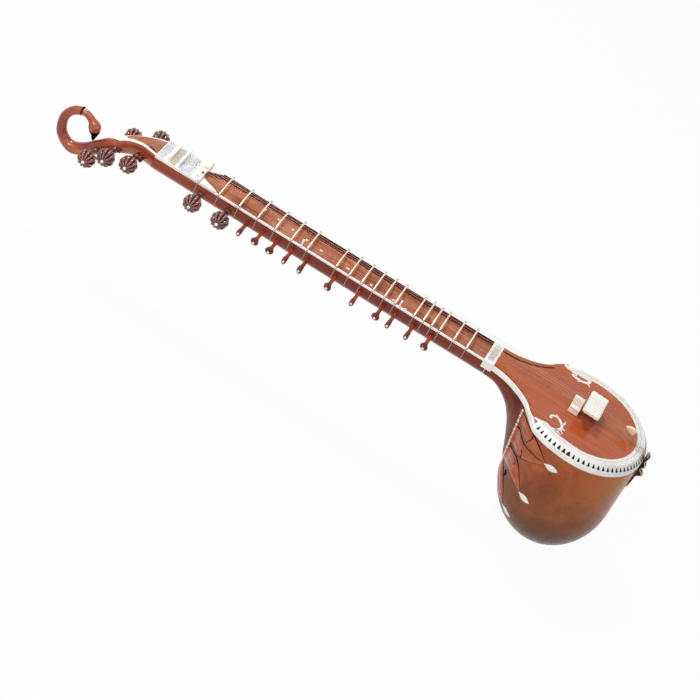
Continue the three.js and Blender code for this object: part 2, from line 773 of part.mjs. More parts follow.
const headRings = headMiddle.map((p, i) => {
  const along = headAlong(i);
  const up = at(along.z, 0, -along.x);
  return Array.from({ length: headSides }, (_, k) => {
    const c = Math.cos(2 * Math.PI * k / headSides);
    const s = Math.sin(2 * Math.PI * k / headSides);
    const power = 2 / (s > 0 ? headTopPower[i] : 2);
    const rise = s > 0 ? headTopShares[i] : headBottomShares[i];
    const sideways = headWidthShares[i] * Math.sign(c) * Math.pow(Math.abs(c), power);
    const upwards = rise * Math.sign(s) * Math.pow(Math.abs(s), power);
    return p.clone()
      .addScaledVector(at(0, 1, 0), neckHalfWidth * sideways)
      .addScaledVector(up, neckHalfWidth * upwards);
  });
});

// The middle and the half width of the head at a place along the neck, before it curls back
function headAt(x) {
  const i = Math.max(headMiddle.findIndex((p) => p.x <= x), 1);
  const a = headMiddle[i - 1];
  const b = headMiddle[i];
  const share = (a.x - x) / (a.x - b.x);
  return {
    z: mix(a.z, b.z, share),
    halfWidth: neckHalfWidth * mix(headWidthShares[i - 1], headWidthShares[i], share),
    up: mix(headTopShares[i - 1], headTopShares[i], share) * neckHalfWidth,
    down: mix(headBottomShares[i - 1], headBottomShares[i], share) * neckHalfWidth,
    slope: (b.z - a.z) / (b.x - a.x),
  };
}

const slotWidths = [0, 0.22, 0.45, 0.7, 1].map((share) => {
  const x = mix(neckEnd, slotEnd, share);
  return new THREE.Vector2(x, headAt(Math.min(x, neckEnd - gap)).halfWidth - slotBorder);
});
const slotShape = new THREE.Shape([
  new THREE.Vector2(neckEnd + overrun, slotWidths[0].y),
  ...slotWidths,
  ...slotWidths.map((p) => new THREE.Vector2(p.x, -p.y)).reverse(),
  new THREE.Vector2(neckEnd + overrun, -slotWidths[0].y),
]);
const tunnelXs = [0, 0.35, 0.7, 1].map((share) => mix(slotEnd + overrun * 5, tunnelEnd, share));
const tunnel = rod(tunnelXs.map((x) => at(x, 0, headAt(x).z + tunnelRise)), tunnelRadius, 8);
let head = solid(loft(headRings))
  .subtract(solid(inPlan(slotShape, -slotDepth, overrun)))
  .subtract(solid(tunnel));

// The swan's neck and head start in the end of the curl
const swanStart = headMiddle.at(-1);
const swanXShares = [0, 0.19, 0.39, 0.585, 0.736, 0.84, 0.919, 0.975, 1];
const swanZShares = [0, 0, 0.055, 0.166, 0.277, 0.394, 0.569, 0.743, 1];
const swanRadiusShares = [0.617, 0.586, 0.594, 0.64, 0.89, 1, 0.83, 0.48, 0.12];
const swanPoints = swanXShares.map((share, i) => at(
  swanStart.x + gap + swanReach * share, 0, swanStart.z - swanDrop * swanZShares[i]));
place('swan_head', rod(swanPoints, swanRadiusShares.map((share) => share * swanRadius), 10), redWood);

// Main pegs: a tapered shaft through both walls, and a fluted ball
function mainPegGeometry(halfWidth, toBall) {
  const centre = halfWidth + toBall;
  const neckShare = 0.35;
  const profile = [
    [0, -halfWidth - pegTipReach],
    [pegTip, -halfWidth - pegTipReach],
    [pegRoot, halfWidth + gap],
    [collarRadius, halfWidth + collarRadius / 2],
    [pegRoot, halfWidth + collarRadius * 1.5],
    [pegRoot * 1.1, centre - ballRadius],
  ];
  const rows = 6;
  for (let i = 1; i < rows; i += 1) {
    const angle = Math.PI * (i / rows) * (1 - neckShare / rows);
    profile.push([ballRadius * Math.sin(angle), centre - ballRadius * Math.cos(angle)]);
  }
  profile.push([buttonRadius, centre + ballRadius], [0, centre + ballRadius + buttonLength]);
  const geometry = new THREE.LatheGeometry(profile.map(([r, y]) => new THREE.Vector2(r, y)), 16);
  const p = geometry.attributes.position;
  for (let i = 0; i < p.count; i += 1) {
    const y = p.getY(i);
    const groove = Math.floor(i / profile.length) % 2 === 1;
    if (groove && y > centre - ballRadius * 0.95 && y < centre + ballRadius * 0.9) {
      p.setX(i, p.getX(i) * fluteShare);
      p.setZ(i, p.getZ(i) * fluteShare);
    }
  }
  return geometryOf(solid(geometry));
}

const headPegShares = [0.1125, 0.17, 0.35, 0.405, 0.57];
const headPegSinkShares = [0.45, 0.45, 0.45, 0.3, 0.3];
const headPegXs = headPegShares.map((share) => neckEnd - headReach * share);
const headPegSides = [1, -1, 1, -1, -1];
const headPegZs = headPegXs.map((x, i) => headAt(x).z - headAt(x).down * headPegSinkShares[i]);
const neckPegShares = [0.9303, 0.8627];
const neckPegXs = neckPegShares.map(alongString);
const mainPegs = [
  ...headPegXs.map((x, i) => ({
    x, z: headPegZs[i], halfWidth: headAt(x + collarRadius).halfWidth, side: headPegSides[i],
  })),
  ...neckPegXs.map((x) => ({ x, z: smallPegZ - pegRoot / 2, halfWidth: neckHalfWidth, side: -1 })),
];
mainPegs.forEach(({ x, z, halfWidth, side }, i) => {
  const toBall = side < 0 ? ballReach : farBallReach;
  const peg = place(`main_peg_${i + 1}`, mainPegGeometry(halfWidth, toBall), darkWood);
  peg.position.set(x, 0, z);
  peg.rotation.z = side < 0 ? Math.PI : 0;
  const reach = halfWidth + toBall - ballRadius - overrun;
  const slopePerLength = (pegRoot - pegTip) / (2 * halfWidth + pegTipReach + gap);
  const out = pegRoot + slopePerLength * (reach - halfWidth);
  const back = pegTip - slopePerLength * (reach - halfWidth - pegTipReach);
  const nearRadius = side < 0 ? out : back;
  const farRadius = side < 0 ? back : out;
  const hole = crossHole(x, z, -reach, nearRadius, reach, farRadius, 12);
  if (x > neckEnd) {
    neck = neck.subtract(hole);
  } else {
    head = head.subtract(hole);
  }
});
place('head', head, redWood);
place('neck', neck, redWood);

// Main bridge: a wide plate with wavy edges on an arched foot
const waveSteps = bridgeWaves * 4;
const bridgeEdge = (side) => Array.from({ length: waveSteps + 1 }, (_, i) => {
  const y = mix(-bridgeHalfWidth, bridgeHalfWidth, i / waveSteps);
  const wave = bridgeWave * Math.abs(Math.sin(Math.PI * bridgeWaves * i / waveSteps));
  return new THREE.Vector2(bridgeX + side * (bridgeLength / 2 - bridgeWave + wave), y);
});
const bridgeShape = new THREE.Shape([...bridgeEdge(1), ...bridgeEdge(-1).reverse()]);
place('bridge_plate', leaning(inPlan(bridgeShape, bridgeHeight - bridgePlate, bridgeHeight)), ivory);

const archSideShare = 0.4;
function archShape(halfWidth, foot, top, archHalfWidth, archTop) {
  const shoulder = mix(foot, archTop, archSideShare);
  const shape = new THREE.Shape();
  shape.moveTo(halfWidth, foot);
  shape.lineTo(halfWidth, top);
  shape.lineTo(-halfWidth, top);
  shape.lineTo(-halfWidth, foot);
  shape.lineTo(-archHalfWidth, foot);
  shape.lineTo(-archHalfWidth, shoulder);
  shape.absellipse(0, shoulder, archHalfWidth, archTop - shoulder, Math.PI, 0, true);
  shape.lineTo(archHalfWidth, foot);
  return shape;
}

const legShape = archShape(
  bridgeLegHalfWidth, gap, bridgeHeight - bridgePlate - gap, bridgeArchHalfWidth, bridgeArchHeight);
const legStart = bridgeX - bridgeLegLength / 2;
place('bridge_legs', leaning(alongNeck(legShape, legStart, legStart + bridgeLegLength)), redWood);
const smallBridgeShape = archShape(
  smallBridgeHalfWidth, gap, smallBridgeHeight, smallBridgeHalfWidth - smallBridgeFoot, smallBridgeArch);
const smallBridgeStart = smallBridgeX - smallBridgeLength / 2;
const smallBridgeStop = smallBridgeStart + smallBridgeLength;
place('small_bridge', leaning(alongNeck(smallBridgeShape, smallBridgeStart, smallBridgeStop)), ivory);

// Tailpiece: a carved hook plate down the end of the gourd
const tailX = rimEnd + gap;
const tailShape = new THREE.Shape();
tailShape.moveTo(tailX, tailTop);
tailShape.lineTo(tailX + tailThickness * 1.6, tailTop);
tailShape.bezierCurveTo(
  tailX + tailThickness * 2, -tailDepth * 0.1, tailX + tailThickness * 0.6, -tailDepth * 0.15,
  tailX + tailThickness + tailBulge / 2, -tailDepth * 0.25);
tailShape.lineTo(tailX + tailThickness * 0.8, -tailDepth * 0.36);
tailShape.lineTo(tailX + tailThickness + tailBulge, -tailDepth * 0.5);
tailShape.lineTo(tailX + tailThickness * 0.8, -tailDepth * 0.6);
tailShape.lineTo(tailX + tailThickness * 0.4, -tailDepth);
tailShape.lineTo(tailX, -tailDepth);
place('tailpiece', leaning(acrossNeck(tailShape, -tailWidth / 2, tailWidth / 2)), darkWood);

// Strings. Each set ends in a bar at the tail
const stringTop = bridgeHeight + gap + stringRadius;
const nutTop = nutHeight + gap + stringRadius;
const pegClear = pegRoot + gap + stringRadius;
const rimX = rimEnd - ringBevel;

function overShaft(i, extra) {
  const { slope } = headAt(headPegXs[i]);
  return headPegZs[i] + (pegClear + extra) * Math.sqrt(1 + slope * slope);
}

const loopShare = 0.05;
const stringAtTail = (i) => onFace(
  hookX, mix(tailSpread / 2, -tailSpread / 2, i / (mainStrings + 1)), hookZ);
const stringOnPlate = (i) => onFace(bridgeX + bridgeLength / 2, stringAtBridge(i), stringTop);

function stringOverBridge(i) {
  return [
    stringAtTail(i),
    stringAtTail(i).lerp(stringOnPlate(i), loopShare),
    stringOnPlate(i),
    onFace(bridgeX - bridgeLength / 2, stringAtBridge(i), stringTop),
  ];
}

const stringToPeg = [0, 2, 4, 3, 1];
function mainString(i) {
  const pegIndex = stringToPeg[i];
  const yEnd = stringAtNut(i) * (pegIndex > 1 ? 0.35 : 0.8);
  const points = [
    ...stringOverBridge(i),
    at(nutX + nutLength / 2, stringAtNut(i), nutTop),
    at(nutX - nutLength / 2, stringAtNut(i), nutTop),
    at(guideX, stringAtNut(i), guideHoleZ),
    at(neckEnd, stringAtNut(i), nutFoot + stringRadius),
  ];
  headPegXs.slice(0, pegIndex + 1).forEach((x, k) => {
    const y = mix(stringAtNut(i), yEnd, (k + 1) / (pegIndex + 1));
    points.push(at(x, y, overShaft(k, k === pegIndex ? 0 : passClear)));
  });
  return rod(points, stringRadius);
}

const postShares = [0.454, 0.6937];
const postXs = postShares.map(alongString);
const postY = -neckHalfWidth + edgeWidth / 2;
const postTop = gap + postHeight;
function droneString(i) {
  const peg = mainPegs[headPegXs.length + 1 - i];
  const outside = -neckHalfWidth - collarRadius / 2;
  return rod([
    ...stringOverBridge(mainStrings + i),
    at(postXs[i], postY, postTop + gap + stringRadius),
    at(peg.x + collarRadius, outside, gap + fretRadius),
    at(peg.x, outside, peg.z + collarRadius + gap + stringRadius),
  ], stringRadius);
}

// A square bar across the strings' ends
function endBar(x, z, halfSize, halfSpan) {
  const { z: middle } = onFace(x, 0, z);
  return box(x - halfSize, x + halfSize, -halfSpan, halfSpan, middle - halfSize, middle + halfSize);
}

let strings = endBar(hookX, hookZ, hookBar, tailSpread / 2 + 2 * stringRadius);
for (let i = 0; i < mainStrings; i += 1) {
  strings = strings.add(solid(mainString(i)));
}
for (let i = 0; i < neckPegXs.length; i += 1) {
  strings = strings.add(solid(droneString(i)));
}
place('main_strings', strings, steel);

postXs.forEach((x, i) => {
  const post = new THREE.CylinderGeometry(postRadius * 0.8, postRadius, postHeight, 8);
  const peg = place(`drone_post_${i + 1}`, post.rotateX(Math.PI / 2), ivory);
  peg.position.set(x, -neckHalfWidth + edgeWidth / 2 + gap, gap + postHeight / 2);
});

const sympatheticTop = smallBridgeHeight + gap + thinStringRadius;
let sympathetic = endBar(innerBarX, innerBarZ, innerBar, sympatheticSpread / 2 + 2 * thinStringRadius);
const overPlate = plateTop + gap + thinStringRadius;
grommets.forEach((p, i) => {
  const y = mix(sympatheticSpread / 2, -sympatheticSpread / 2, i / (smallPegs - 1));
  const bridgePoint = onFace(smallBridgeStart, y, sympatheticTop);
  const boardPoint = at(p.x, p.y, -boardRecess + thinStringRadius);
  const plateEdges = [shoulderEnd, shoulderEnd - plateLength].map((x) => {
    const share = (smallBridgeStart - x) / (smallBridgeStart - p.x);
    const point = bridgePoint.clone().lerp(boardPoint, share);
    return at(x, point.y, Math.max(point.z, overPlate));
  });
  sympathetic = sympathetic.add(solid(rod([
    onFace(innerBarX, y, innerBarZ),
    onFace(rimX, y, ringRise + gap + thinStringRadius * 2),
    onFace(smallBridgeStop, y, sympatheticTop),
    bridgePoint,
    ...plateEdges,
    boardPoint,
    at(p.x - thinStringRadius, p.y, boardBottom - gap - thinStringRadius),
    at(p.x - grommetOffset, p.y, smallPegZ + smallPegRoot + gap + thinStringRadius),
  ], thinStringRadius)));
});
place('sympathetic_strings', sympathetic, brass);

// Tuning bead: a leaf of bone that slides on the first string
const beadString = [stringOnPlate(0), stringAtTail(0)];
const beadShare = (beadX - beadString[0].x) / (beadString[1].x - beadString[0].x);
const beadMiddle = beadString[0].clone().lerp(beadString[1], beadShare);
const beadShape = new THREE.Shape();
beadShape.moveTo(-beadLength / 2, 0);
beadShape.quadraticCurveTo(-beadLength / 4, beadHeight * 0.7, beadLength / 2, beadHeight * 0.6);
beadShape.lineTo(beadLength / 2, -beadHeight * 0.25);
beadShape.quadraticCurveTo(0, -beadHeight * 0.4, -beadLength / 2, 0);
const beadDrill = new THREE.CylinderGeometry(beadBore, beadBore, beadLength * 2, 8);
const beadSolid = solid(acrossNeck(beadShape, -beadWidth / 2, beadWidth / 2))
  .subtract(solid(beadDrill.rotateZ(Math.PI / 2)));
const bead = place('tuning_bead', beadSolid, ivory);
const beadAlong = beadString[1].clone().sub(beadString[0]).normalize();
bead.position.copy(beadMiddle);
bead.quaternion.setFromUnitVectors(at(1, 0, 0), beadAlong);

// The whole stands on the gourd's lowest point
const sitar = new THREE.Group();
face.position.set(-bellyCentre, 0, gourdDepth + drop(bellyCentre));
sitar.add(face);

export default sitar;
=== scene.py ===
import math
import random

import bmesh
import bpy
from mathutils import Matrix, Vector
from mathutils.bvhtree import BVHTree


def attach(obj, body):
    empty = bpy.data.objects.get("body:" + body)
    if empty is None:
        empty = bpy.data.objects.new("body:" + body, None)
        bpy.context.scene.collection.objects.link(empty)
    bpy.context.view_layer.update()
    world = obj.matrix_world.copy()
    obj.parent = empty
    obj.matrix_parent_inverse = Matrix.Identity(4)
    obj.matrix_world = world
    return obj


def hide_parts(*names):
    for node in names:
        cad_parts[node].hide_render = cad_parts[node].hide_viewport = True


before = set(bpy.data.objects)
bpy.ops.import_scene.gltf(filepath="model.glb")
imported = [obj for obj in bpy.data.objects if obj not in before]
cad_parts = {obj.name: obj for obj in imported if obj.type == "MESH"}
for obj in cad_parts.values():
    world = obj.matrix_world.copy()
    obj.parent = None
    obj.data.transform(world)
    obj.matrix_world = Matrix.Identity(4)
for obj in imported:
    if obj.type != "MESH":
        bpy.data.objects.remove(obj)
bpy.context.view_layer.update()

# All sizes below are millimetres from the middle of the face, with the head at -X
MM = 0.001
SHIFT = Vector((-32.0, 0.0, 292.8804))
LEAN = 0.04
GAP = 0.3
STRING_LENGTH = 917.5
BRIDGE_X = 14.5


def string_x(share):
    """The place at a share of the string's length, from the bridge to the nut."""
    return BRIDGE_X - STRING_LENGTH * share


SHOULDER_END = string_x(0.2229)
NUT_X = string_x(1)
NECK_END = NUT_X - 47.0
HALF = 37.5
NECK_DEPTH = 43.0
SIDE_DEPTH = 12
OVERHANG = 0.7
NECK_START = -201.31
HEEL_START = SHOULDER_END - 10.7


# ---- curves and shapes
def mix(a, b, t):
    return a + (b - a) * t


def clamp(v, low=0, high=1):
    return min(max(v, low), high)


def shares(n, start=0):
    """Even steps from start / n to 1."""
    return [i / n for i in range(start, n + 1)]


def drop(x):
    """How far the leaning face of the body lies below the neck's face at x."""
    return LEAN * max(x - SHOULDER_END, 0)


def on_face(x, y, z):
    return Vector((x, y, z - drop(x)))


def sided(p, side, z):
    """A point of the outline's +Y half at height z, mirrored for side -1."""
    return Vector((p.x, side * p.y, z))


def row(p, leaning=True):
    """A point in the frame's metres; past the shoulders a leaning one follows the slope of the face."""
    p = Vector(p)
    if leaning:
        p.z -= drop(p.x)
    return (p + SHIFT) * MM


def table(xs, ys, x):
    """A smooth curve through a table, without overshoot."""
    n = len(xs)
    if x <= xs[0]:
        return ys[0]
    if x >= xs[-1]:
        return ys[-1]
    slopes = [(ys[i + 1] - ys[i]) / (xs[i + 1] - xs[i]) for i in range(n - 1)]
    i = max(k for k in range(n - 1) if xs[k] <= x)

    def tangent(k):
        if k in (0, n - 1):
            return slopes[0 if k == 0 else -1]
        a, b = slopes[k - 1], slopes[k]
        return 0.0 if a * b <= 0 else 2 * a * b / (a + b)

    h = xs[i + 1] - xs[i]
    t = (x - xs[i]) / h
    return ((2 * t ** 3 - 3 * t ** 2 + 1) * ys[i] + (t ** 3 - 2 * t ** 2 + t) * h * tangent(i)
            + (-2 * t ** 3 + 3 * t ** 2) * ys[i + 1] + (t ** 3 - t ** 2) * h * tangent(i + 1))


def even(values, t):
    """A smooth curve through evenly spaced values, t from 0 to 1."""
    return table(range(len(values)), values, t * (len(values) - 1))


def spline(points, t):
    """A point on a Catmull-Rom curve through points, t from 0 to 1."""
    n = len(points) - 1
    k = min(int(t * n), n - 1)
    f = t * n - k
    p = [Vector(points[clamp(k + d, 0, n)]) for d in (-1, 0, 1, 2)]
    return 0.5 * ((2 * p[1]) + (p[2] - p[0]) * f + (2 * p[0] - 5 * p[1] + 4 * p[2] - p[3]) * f * f
                  + (3 * p[1] - p[0] - 3 * p[2] + p[3]) * f ** 3)


def quad(p, q, r, t):
    """A point on a curve with one control point, q."""
    return Vector(p) * (1 - t) ** 2 + Vector(q) * 2 * t * (1 - t) + Vector(r) * t * t


def direction(points, i):
    """The direction of a path at its point i."""
    return (points[min(i + 1, len(points) - 1)] - points[max(i - 1, 0)]).normalized()


def hoop(x, y, z, r, n, upright=False, closed=False, pitch=0.0):
    """Points of a circle, lying on the face or upright across Y, with a pitch along Y."""
    out = []
    for i in range(n + closed):
        a = 2 * math.pi * i / n
        c, s = r * math.cos(a), r * math.sin(a)
        out.append(Vector((x + c, y + pitch * a, z + s) if upright else (x + c, y + s, z)))
    return out


def loft(rings, caps=True):
    n = len(rings[0])
    verts = [Vector(p) for ring in rings for p in ring]
    faces = []
    for r in range(len(rings) - 1):
        for i in range(n):
            j = (i + 1) % n
            faces.append((r * n + i, r * n + j, (r + 1) * n + j, (r + 1) * n + i))
    if caps:
        faces.append(tuple(reversed(range(n))))
        faces.append(tuple(range((len(rings) - 1) * n, len(rings) * n)))
    return verts, faces


def join(*shapes):
    verts, faces = [], []
    for v, f in shapes:
        faces += [tuple(i + len(verts) for i in face) for face in f]
        verts += v
    return verts, faces


def both(make):
    """A shape on the far side and the same made for the near side."""
    return join(make(1), make(-1))


def sweep(path, radius, sides=16, squash=1.0):
    """A round bar along a path; radius is a number or one value per point."""
    path = [Vector(p) for p in path]
    rings = []
    across = None
    for i, p in enumerate(path):
        along = direction(path, i)
        if across is None:
            across = Vector((0, 1, 0)) if abs(along.y) < 0.9 else Vector((0, 0, 1))
        across = (across - along * across.dot(along)).normalized()
        up = along.cross(across)
        r = radius[i] if isinstance(radius, (list, tuple)) else radius
        rings.append([p + across * (r * squash * math.cos(a)) + up * (r * math.sin(a))
                      for a in (2 * math.pi * k / sides for k in range(sides))])
    return loft(rings)


def smooth_profile(points, steps):
    """Radius and height pairs along a smooth curve, steps of them for each given pair."""
    points = [(a, b, 0) for a, b in points]
    return [tuple(spline(points, t).xy) for t in shares(steps * (len(points) - 1))]


def box_shape(x0, x1, y0, y1, z0, z1):
    return loft([[(x, y0, z0), (x, y1, z0), (x, y1, z1), (x, y0, z1)] for x in (x0, x1)])


def section(at, over, out, offsets):
    """The points of a cross-section, each given by its offsets in two directions."""
    return [at + over * w + out * h for w, h in offsets]


def slab(outline, low, high):
    """A flat plate between two heights over an outline."""
    return loft([[p + Vector((0, 0, z)) for p in outline] for z in (low, high)])


# ---- objects
def link(name, data):
    """A new object in the scene."""
    obj = bpy.data.objects.new(name, data)
    bpy.context.scene.collection.objects.link(obj)
    return obj


def applied(obj):
    """The object's mesh with its modifiers applied."""
    bpy.context.view_layer.update()
    return bpy.data.meshes.new_from_object(obj.evaluated_get(bpy.context.evaluated_depsgraph_get()))


def shade(mesh, sharp):
    mesh.shade_smooth()
    mesh.set_sharp_from_angle(angle=math.radians(sharp))


def clean(mesh, bm=None):
    """Writes the mesh, or bm into it, with its faces turned outwards."""
    if bm is None:
        bm = bmesh.new()
        bm.from_mesh(mesh)
    bmesh.ops.recalc_face_normals(bm, faces=bm.faces)
    bm.to_mesh(mesh)
    bm.free()


def build(name, shape, mats, leaning=True, face_mats=None):
    mesh = bpy.data.meshes.new(name)
    mesh.from_pydata([row(v, leaning) for v in shape[0]], [], shape[1])
    for m in mats:
        mesh.materials.append(m)
    if face_mats:
        mesh.polygons.foreach_set("material_index", face_mats)
    return mesh


def place(name, mesh, body, node=None):
    """Makes a mesh a piece of the scene that rides on its body."""
    obj = link(name, mesh)
    if node:
        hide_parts(node)
    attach(obj, body)
    return obj


def piece(name, shape, mats, body="instrument", node=None, leaning=True, sharp=40,
          face_mats=None, tint=None):
    mesh = build(name, shape, mats if isinstance(mats, list) else [mats], leaning, face_mats)
    # A per-point value that the peg woods turn into painted shade, a painted highlight and a darker tone
    if tint:
        mesh.attributes.new("tint", "FLOAT", "POINT").data.foreach_set("value", tint)
    clean(mesh)
    shade(mesh, sharp)
    return place(name, mesh, body, node)


# ---- camera
PITCH, YAW, ROLL = 0.5862124518, 0.0563433791, -0.0296183130
PHOTO_TURN = math.radians(31.8)
AIM = (477.96877, -105.40915, 5305.92248)
FOCAL_PIXELS, PHOTO_PIXELS, SENSOR = 2700, 700, 36


def turned_pair(a, b, angle):
    """Two axes turned in their plane, a towards b."""
    c, s = math.cos(angle), math.sin(angle)
    return a * c + b * s, b * c - a * s


def camera_matrix():
    right, ahead = turned_pair(Vector((1, 0, 0)), Vector((0, 1, 0)), YAW)
    up, look = turned_pair(Vector((0, 0, 1)), ahead, PITCH)
    right, up = turned_pair(right, up, ROLL)
    at = -(right * AIM[0] + up * AIM[1] + look * AIM[2]) * MM
    right, up = turned_pair(right, up, PHOTO_TURN)
    return Matrix.Translation(at) @ Matrix((right, up, -look)).transposed().to_4x4()


camera = link("camera", bpy.data.cameras.new("camera"))
camera.data.lens = FOCAL_PIXELS / PHOTO_PIXELS * SENSOR
camera.data.sensor_width = SENSOR
camera.data.clip_end = 50
camera.matrix_world = camera_matrix()
bpy.context.scene.camera = camera


# ---- materials
def srgb(*c):
    return tuple((v / 255 / 12.92 if v <= 10 else ((v / 255 + 0.055) / 1.055) ** 2.4) for v in c) + (1,)


def dim(color, share):
    return tuple(v * share for v in color[:3]) + (1,)


class Nodes:
    """Adds nodes to a tree, with a value or a link for each named input."""

    def __init__(self, tree):
        self.tree = tree
        tree.nodes.clear()

    def node(self, kind, inputs=None, **options):
        n = self.tree.nodes.new("ShaderNode" + kind)
        for key, value in options.items():
            setattr(n, key, value)
        for key, value in (inputs or {}).items():
            self.put(n.inputs[key], value)
        return n

    def put(self, socket, value):
        if isinstance(value, bpy.types.NodeSocket):
            self.tree.links.new(value, socket)
        else:
            socket.default_value = value

    def level(self, value, low, high, to_low=0.0, to_high=1.0):
        return self.node("MapRange", {"Value": value, "From Min": low, "From Max": high,
                                      "To Min": to_low, "To Max": to_high}).outputs[0]

    def math(self, kind, a, b=0.0):
        return self.node("Math", {0: a, 1: b}, operation=kind).outputs[0]

    def seen(self):
        """1 for rays that show the white background, 0 for those that light the part."""
        ray = self.node("LightPath").outputs
        seen = self.math("MAXIMUM", ray["Is Glossy Ray"], ray["Is Transmission Ray"])
        return self.math("MAXIMUM", ray["Is Camera Ray"], seen)


class Maker(Nodes):
    """Builds one node material around a Principled shader."""

    def __init__(self, name, **sockets):
        self.mat = bpy.data.materials.new(name)
        self.mat.use_nodes = True
        super().__init__(self.mat.node_tree)
        self.out = self.node("OutputMaterial")
        self.shader = self.node("BsdfPrincipled", {key.replace("_", " "): v for key, v in sockets.items()})
        self.put(self.out.inputs[0], self.shader.outputs[0])
        self.coords = self.node("TexCoord").outputs["Object"]

    def scaled(self, stretch):
        return self.node("Mapping", {"Vector": self.coords, "Scale": stretch}).outputs[0]

    def noise(self, scale, stretch=(1, 1, 1), detail=4, rough=0.55, warp=0):
        return self.node("TexNoise", {"Vector": self.scaled(stretch), "Scale": scale, "Detail": detail,
                                      "Roughness": rough, "Distortion": warp}).outputs["Fac"]

    def cells(self, scale, stretch, **options):
        cells = self.node("TexVoronoi", {"Vector": self.scaled(stretch), "Scale": scale}, **options)
        return cells.outputs["Distance"]

    def uneven(self, scale, low, high, detail=4):
        """A roughness that changes between low and high in patches."""
        return self.level(self.noise(scale, detail=detail), 0.3, 0.7, low, high)

    def ramp(self, value, *stops):
        n = self.node("ValToRGB", {"Fac": value})
        while len(n.color_ramp.elements) < len(stops):
            n.color_ramp.elements.new(0.5)
        for element, (at, color) in zip(n.color_ramp.elements, stops):
            element.position = at
            element.color = color
        return n.outputs[0]

    def blend(self, fac, a, b):
        n = self.node("Mix", data_type="RGBA", blend_type="MIX")
        for socket, value in ((n.inputs["Factor"], fac), (n.inputs[6], a), (n.inputs[7], b)):
            self.put(socket, value)
        return n.outputs[2]

    def axis(self, which):
        return self.node("SeparateXYZ", {0: self.coords}).outputs[which]

    def bump(self, height, strength, distance, normal=None):
        inputs = {"Height": height, "Strength": strength, "Distance": distance}
        if normal:
            inputs["Normal"] = normal
        return self.node("Bump", inputs).outputs[0]

    def tint(self):
        return self.node("Attribute", attribute_name="tint").outputs["Fac"]

    def finish(self, color, rough, normal=None):
        self.put(self.shader.inputs["Base Color"], color)
        self.put(self.shader.inputs["Roughness"], rough)
        if normal:
            self.put(self.shader.inputs["Normal"], normal)
        return self.mat


def along_grain(stretch, share):
    """Draws a stretched axis out further by a share."""
    return tuple(v * (share if v < 0.5 else 1) for v in stretch)


def wood(name, dark, mid, light, grain=1.0, gloss=0.22, coat=0.6, pores=0.35, stretch=(0.08, 1, 1),
         with_shade_and_tone=False, shine=0.1, tail=None, ridge=0.0):
    """Varnished wood with its grain along the stretched axis; tail is its colour near the body. On fluted pegs a
    per-point value adds a painted highlight on the ridges, painted shade in the grooves and a darker tone.
    """
    dark = srgb(*dark)
    m = Maker(name, Coat_Weight=coat, Coat_Roughness=0.08, IOR=1.5, Specular_IOR_Level=shine)
    broad = m.noise(26 * grain, stretch, detail=3, warp=0.6)
    fine = m.noise(210 * grain, along_grain(stretch, 0.35), detail=6, rough=0.7)
    color = m.ramp(broad, (0.3, dark), (0.5, srgb(*mid)), (0.72, srgb(*light)))
    if tail:
        place_x = m.math("ADD", m.axis("X"), m.math("MULTIPLY", broad, 0.3))
        color = m.blend(m.level(place_x, -0.84, -0.5, 0.0, 0.85), color, srgb(*tail))
    color = m.blend(m.level(fine, 0.42, 0.62, 0.0, 0.35), color, dim(dark, 0.5))
    spot = m.level(m.cells(480.0 * grain, along_grain(stretch, 0.5)), 0.06, 0.16, pores, 0.0)
    color = m.blend(spot, color, dim(dark, 0.35))
    if with_shade_and_tone:
        # Painted highlight on the flutes' ridges where the per-point value is low, then painted shade in the
        # grooves and a darker tone where it is high
        color = m.blend(m.level(m.tint(), 0.0, 0.4, ridge, 0.0), color, srgb(208, 132, 108))
        color = m.blend(m.level(m.tint(), 0.1, 0.9), color, dim(dark, 0.12))
    relief = m.math("SUBTRACT", m.math("MULTIPLY", fine, 0.5), spot)
    return m.finish(color, m.uneven(60, gloss * 0.75, gloss * 1.4, detail=3), m.bump(relief, 0.12, 0.0003))


def bone(name, base=(250, 249, 247), lines=0.2, dirt=0.22, axis=(1, 1, 1)):
    """Ivory-coloured bone or celluloid with faint growth lines and grime."""
    m = Maker(name, Coat_Weight=0.25, Coat_Roughness=0.15, IOR=1.5)
    aged = srgb(base[0] - 10, base[1] - 14, base[2] - 22)
    color = m.blend(m.level(m.noise(34, detail=5), 0.4, 0.75), srgb(*base), aged)
    thread = m.node("TexWave", {"Vector": m.scaled(axis), "Scale": 160.0, "Distortion": 5.0, "Detail": 3.0,
                                "Detail Scale": 2.0}).outputs["Fac"]
    color = m.blend(m.level(thread, 0.75, 1.0, 0.0, lines), color, srgb(176, 168, 150))
    grime = m.level(m.noise(150, detail=6, rough=0.75), 0.58, 0.8, 0, dirt)
    color = m.blend(grime, color, srgb(150, 138, 118))
    return m.finish(color, m.uneven(90, 0.24, 0.45), m.bump(thread, 0.05, 0.0002, m.bump(grime, 0.15, 0.0002)))


def engraved(name, base, ink, scale=520.0, amount=0.75):
    """White plate with close inked engraving."""
    m = Maker(name, Coat_Weight=0.2, IOR=1.5)
    line = m.level(m.cells(scale, (1, 1, 1), feature="DISTANCE_TO_EDGE"), 0.04, 0.12, 1.0, 0.0)
    spot = m.level(m.cells(scale * 0.55, (1, 1, 1)), 0.14, 0.24, 1.0, 0.0)
    worn = m.level(m.noise(70, detail=4), 0.35, 0.6, 0.45 * amount, amount)
    mark = m.math("MULTIPLY", m.math("MAXIMUM", line, spot), worn)
    ground = m.blend(m.noise(40), srgb(*base), srgb(base[0] - 18, base[1] - 18, base[2] - 16))
    return m.finish(m.blend(mark, ground, srgb(*ink)), 0.4, m.bump(mark, 0.35, 0.00025))


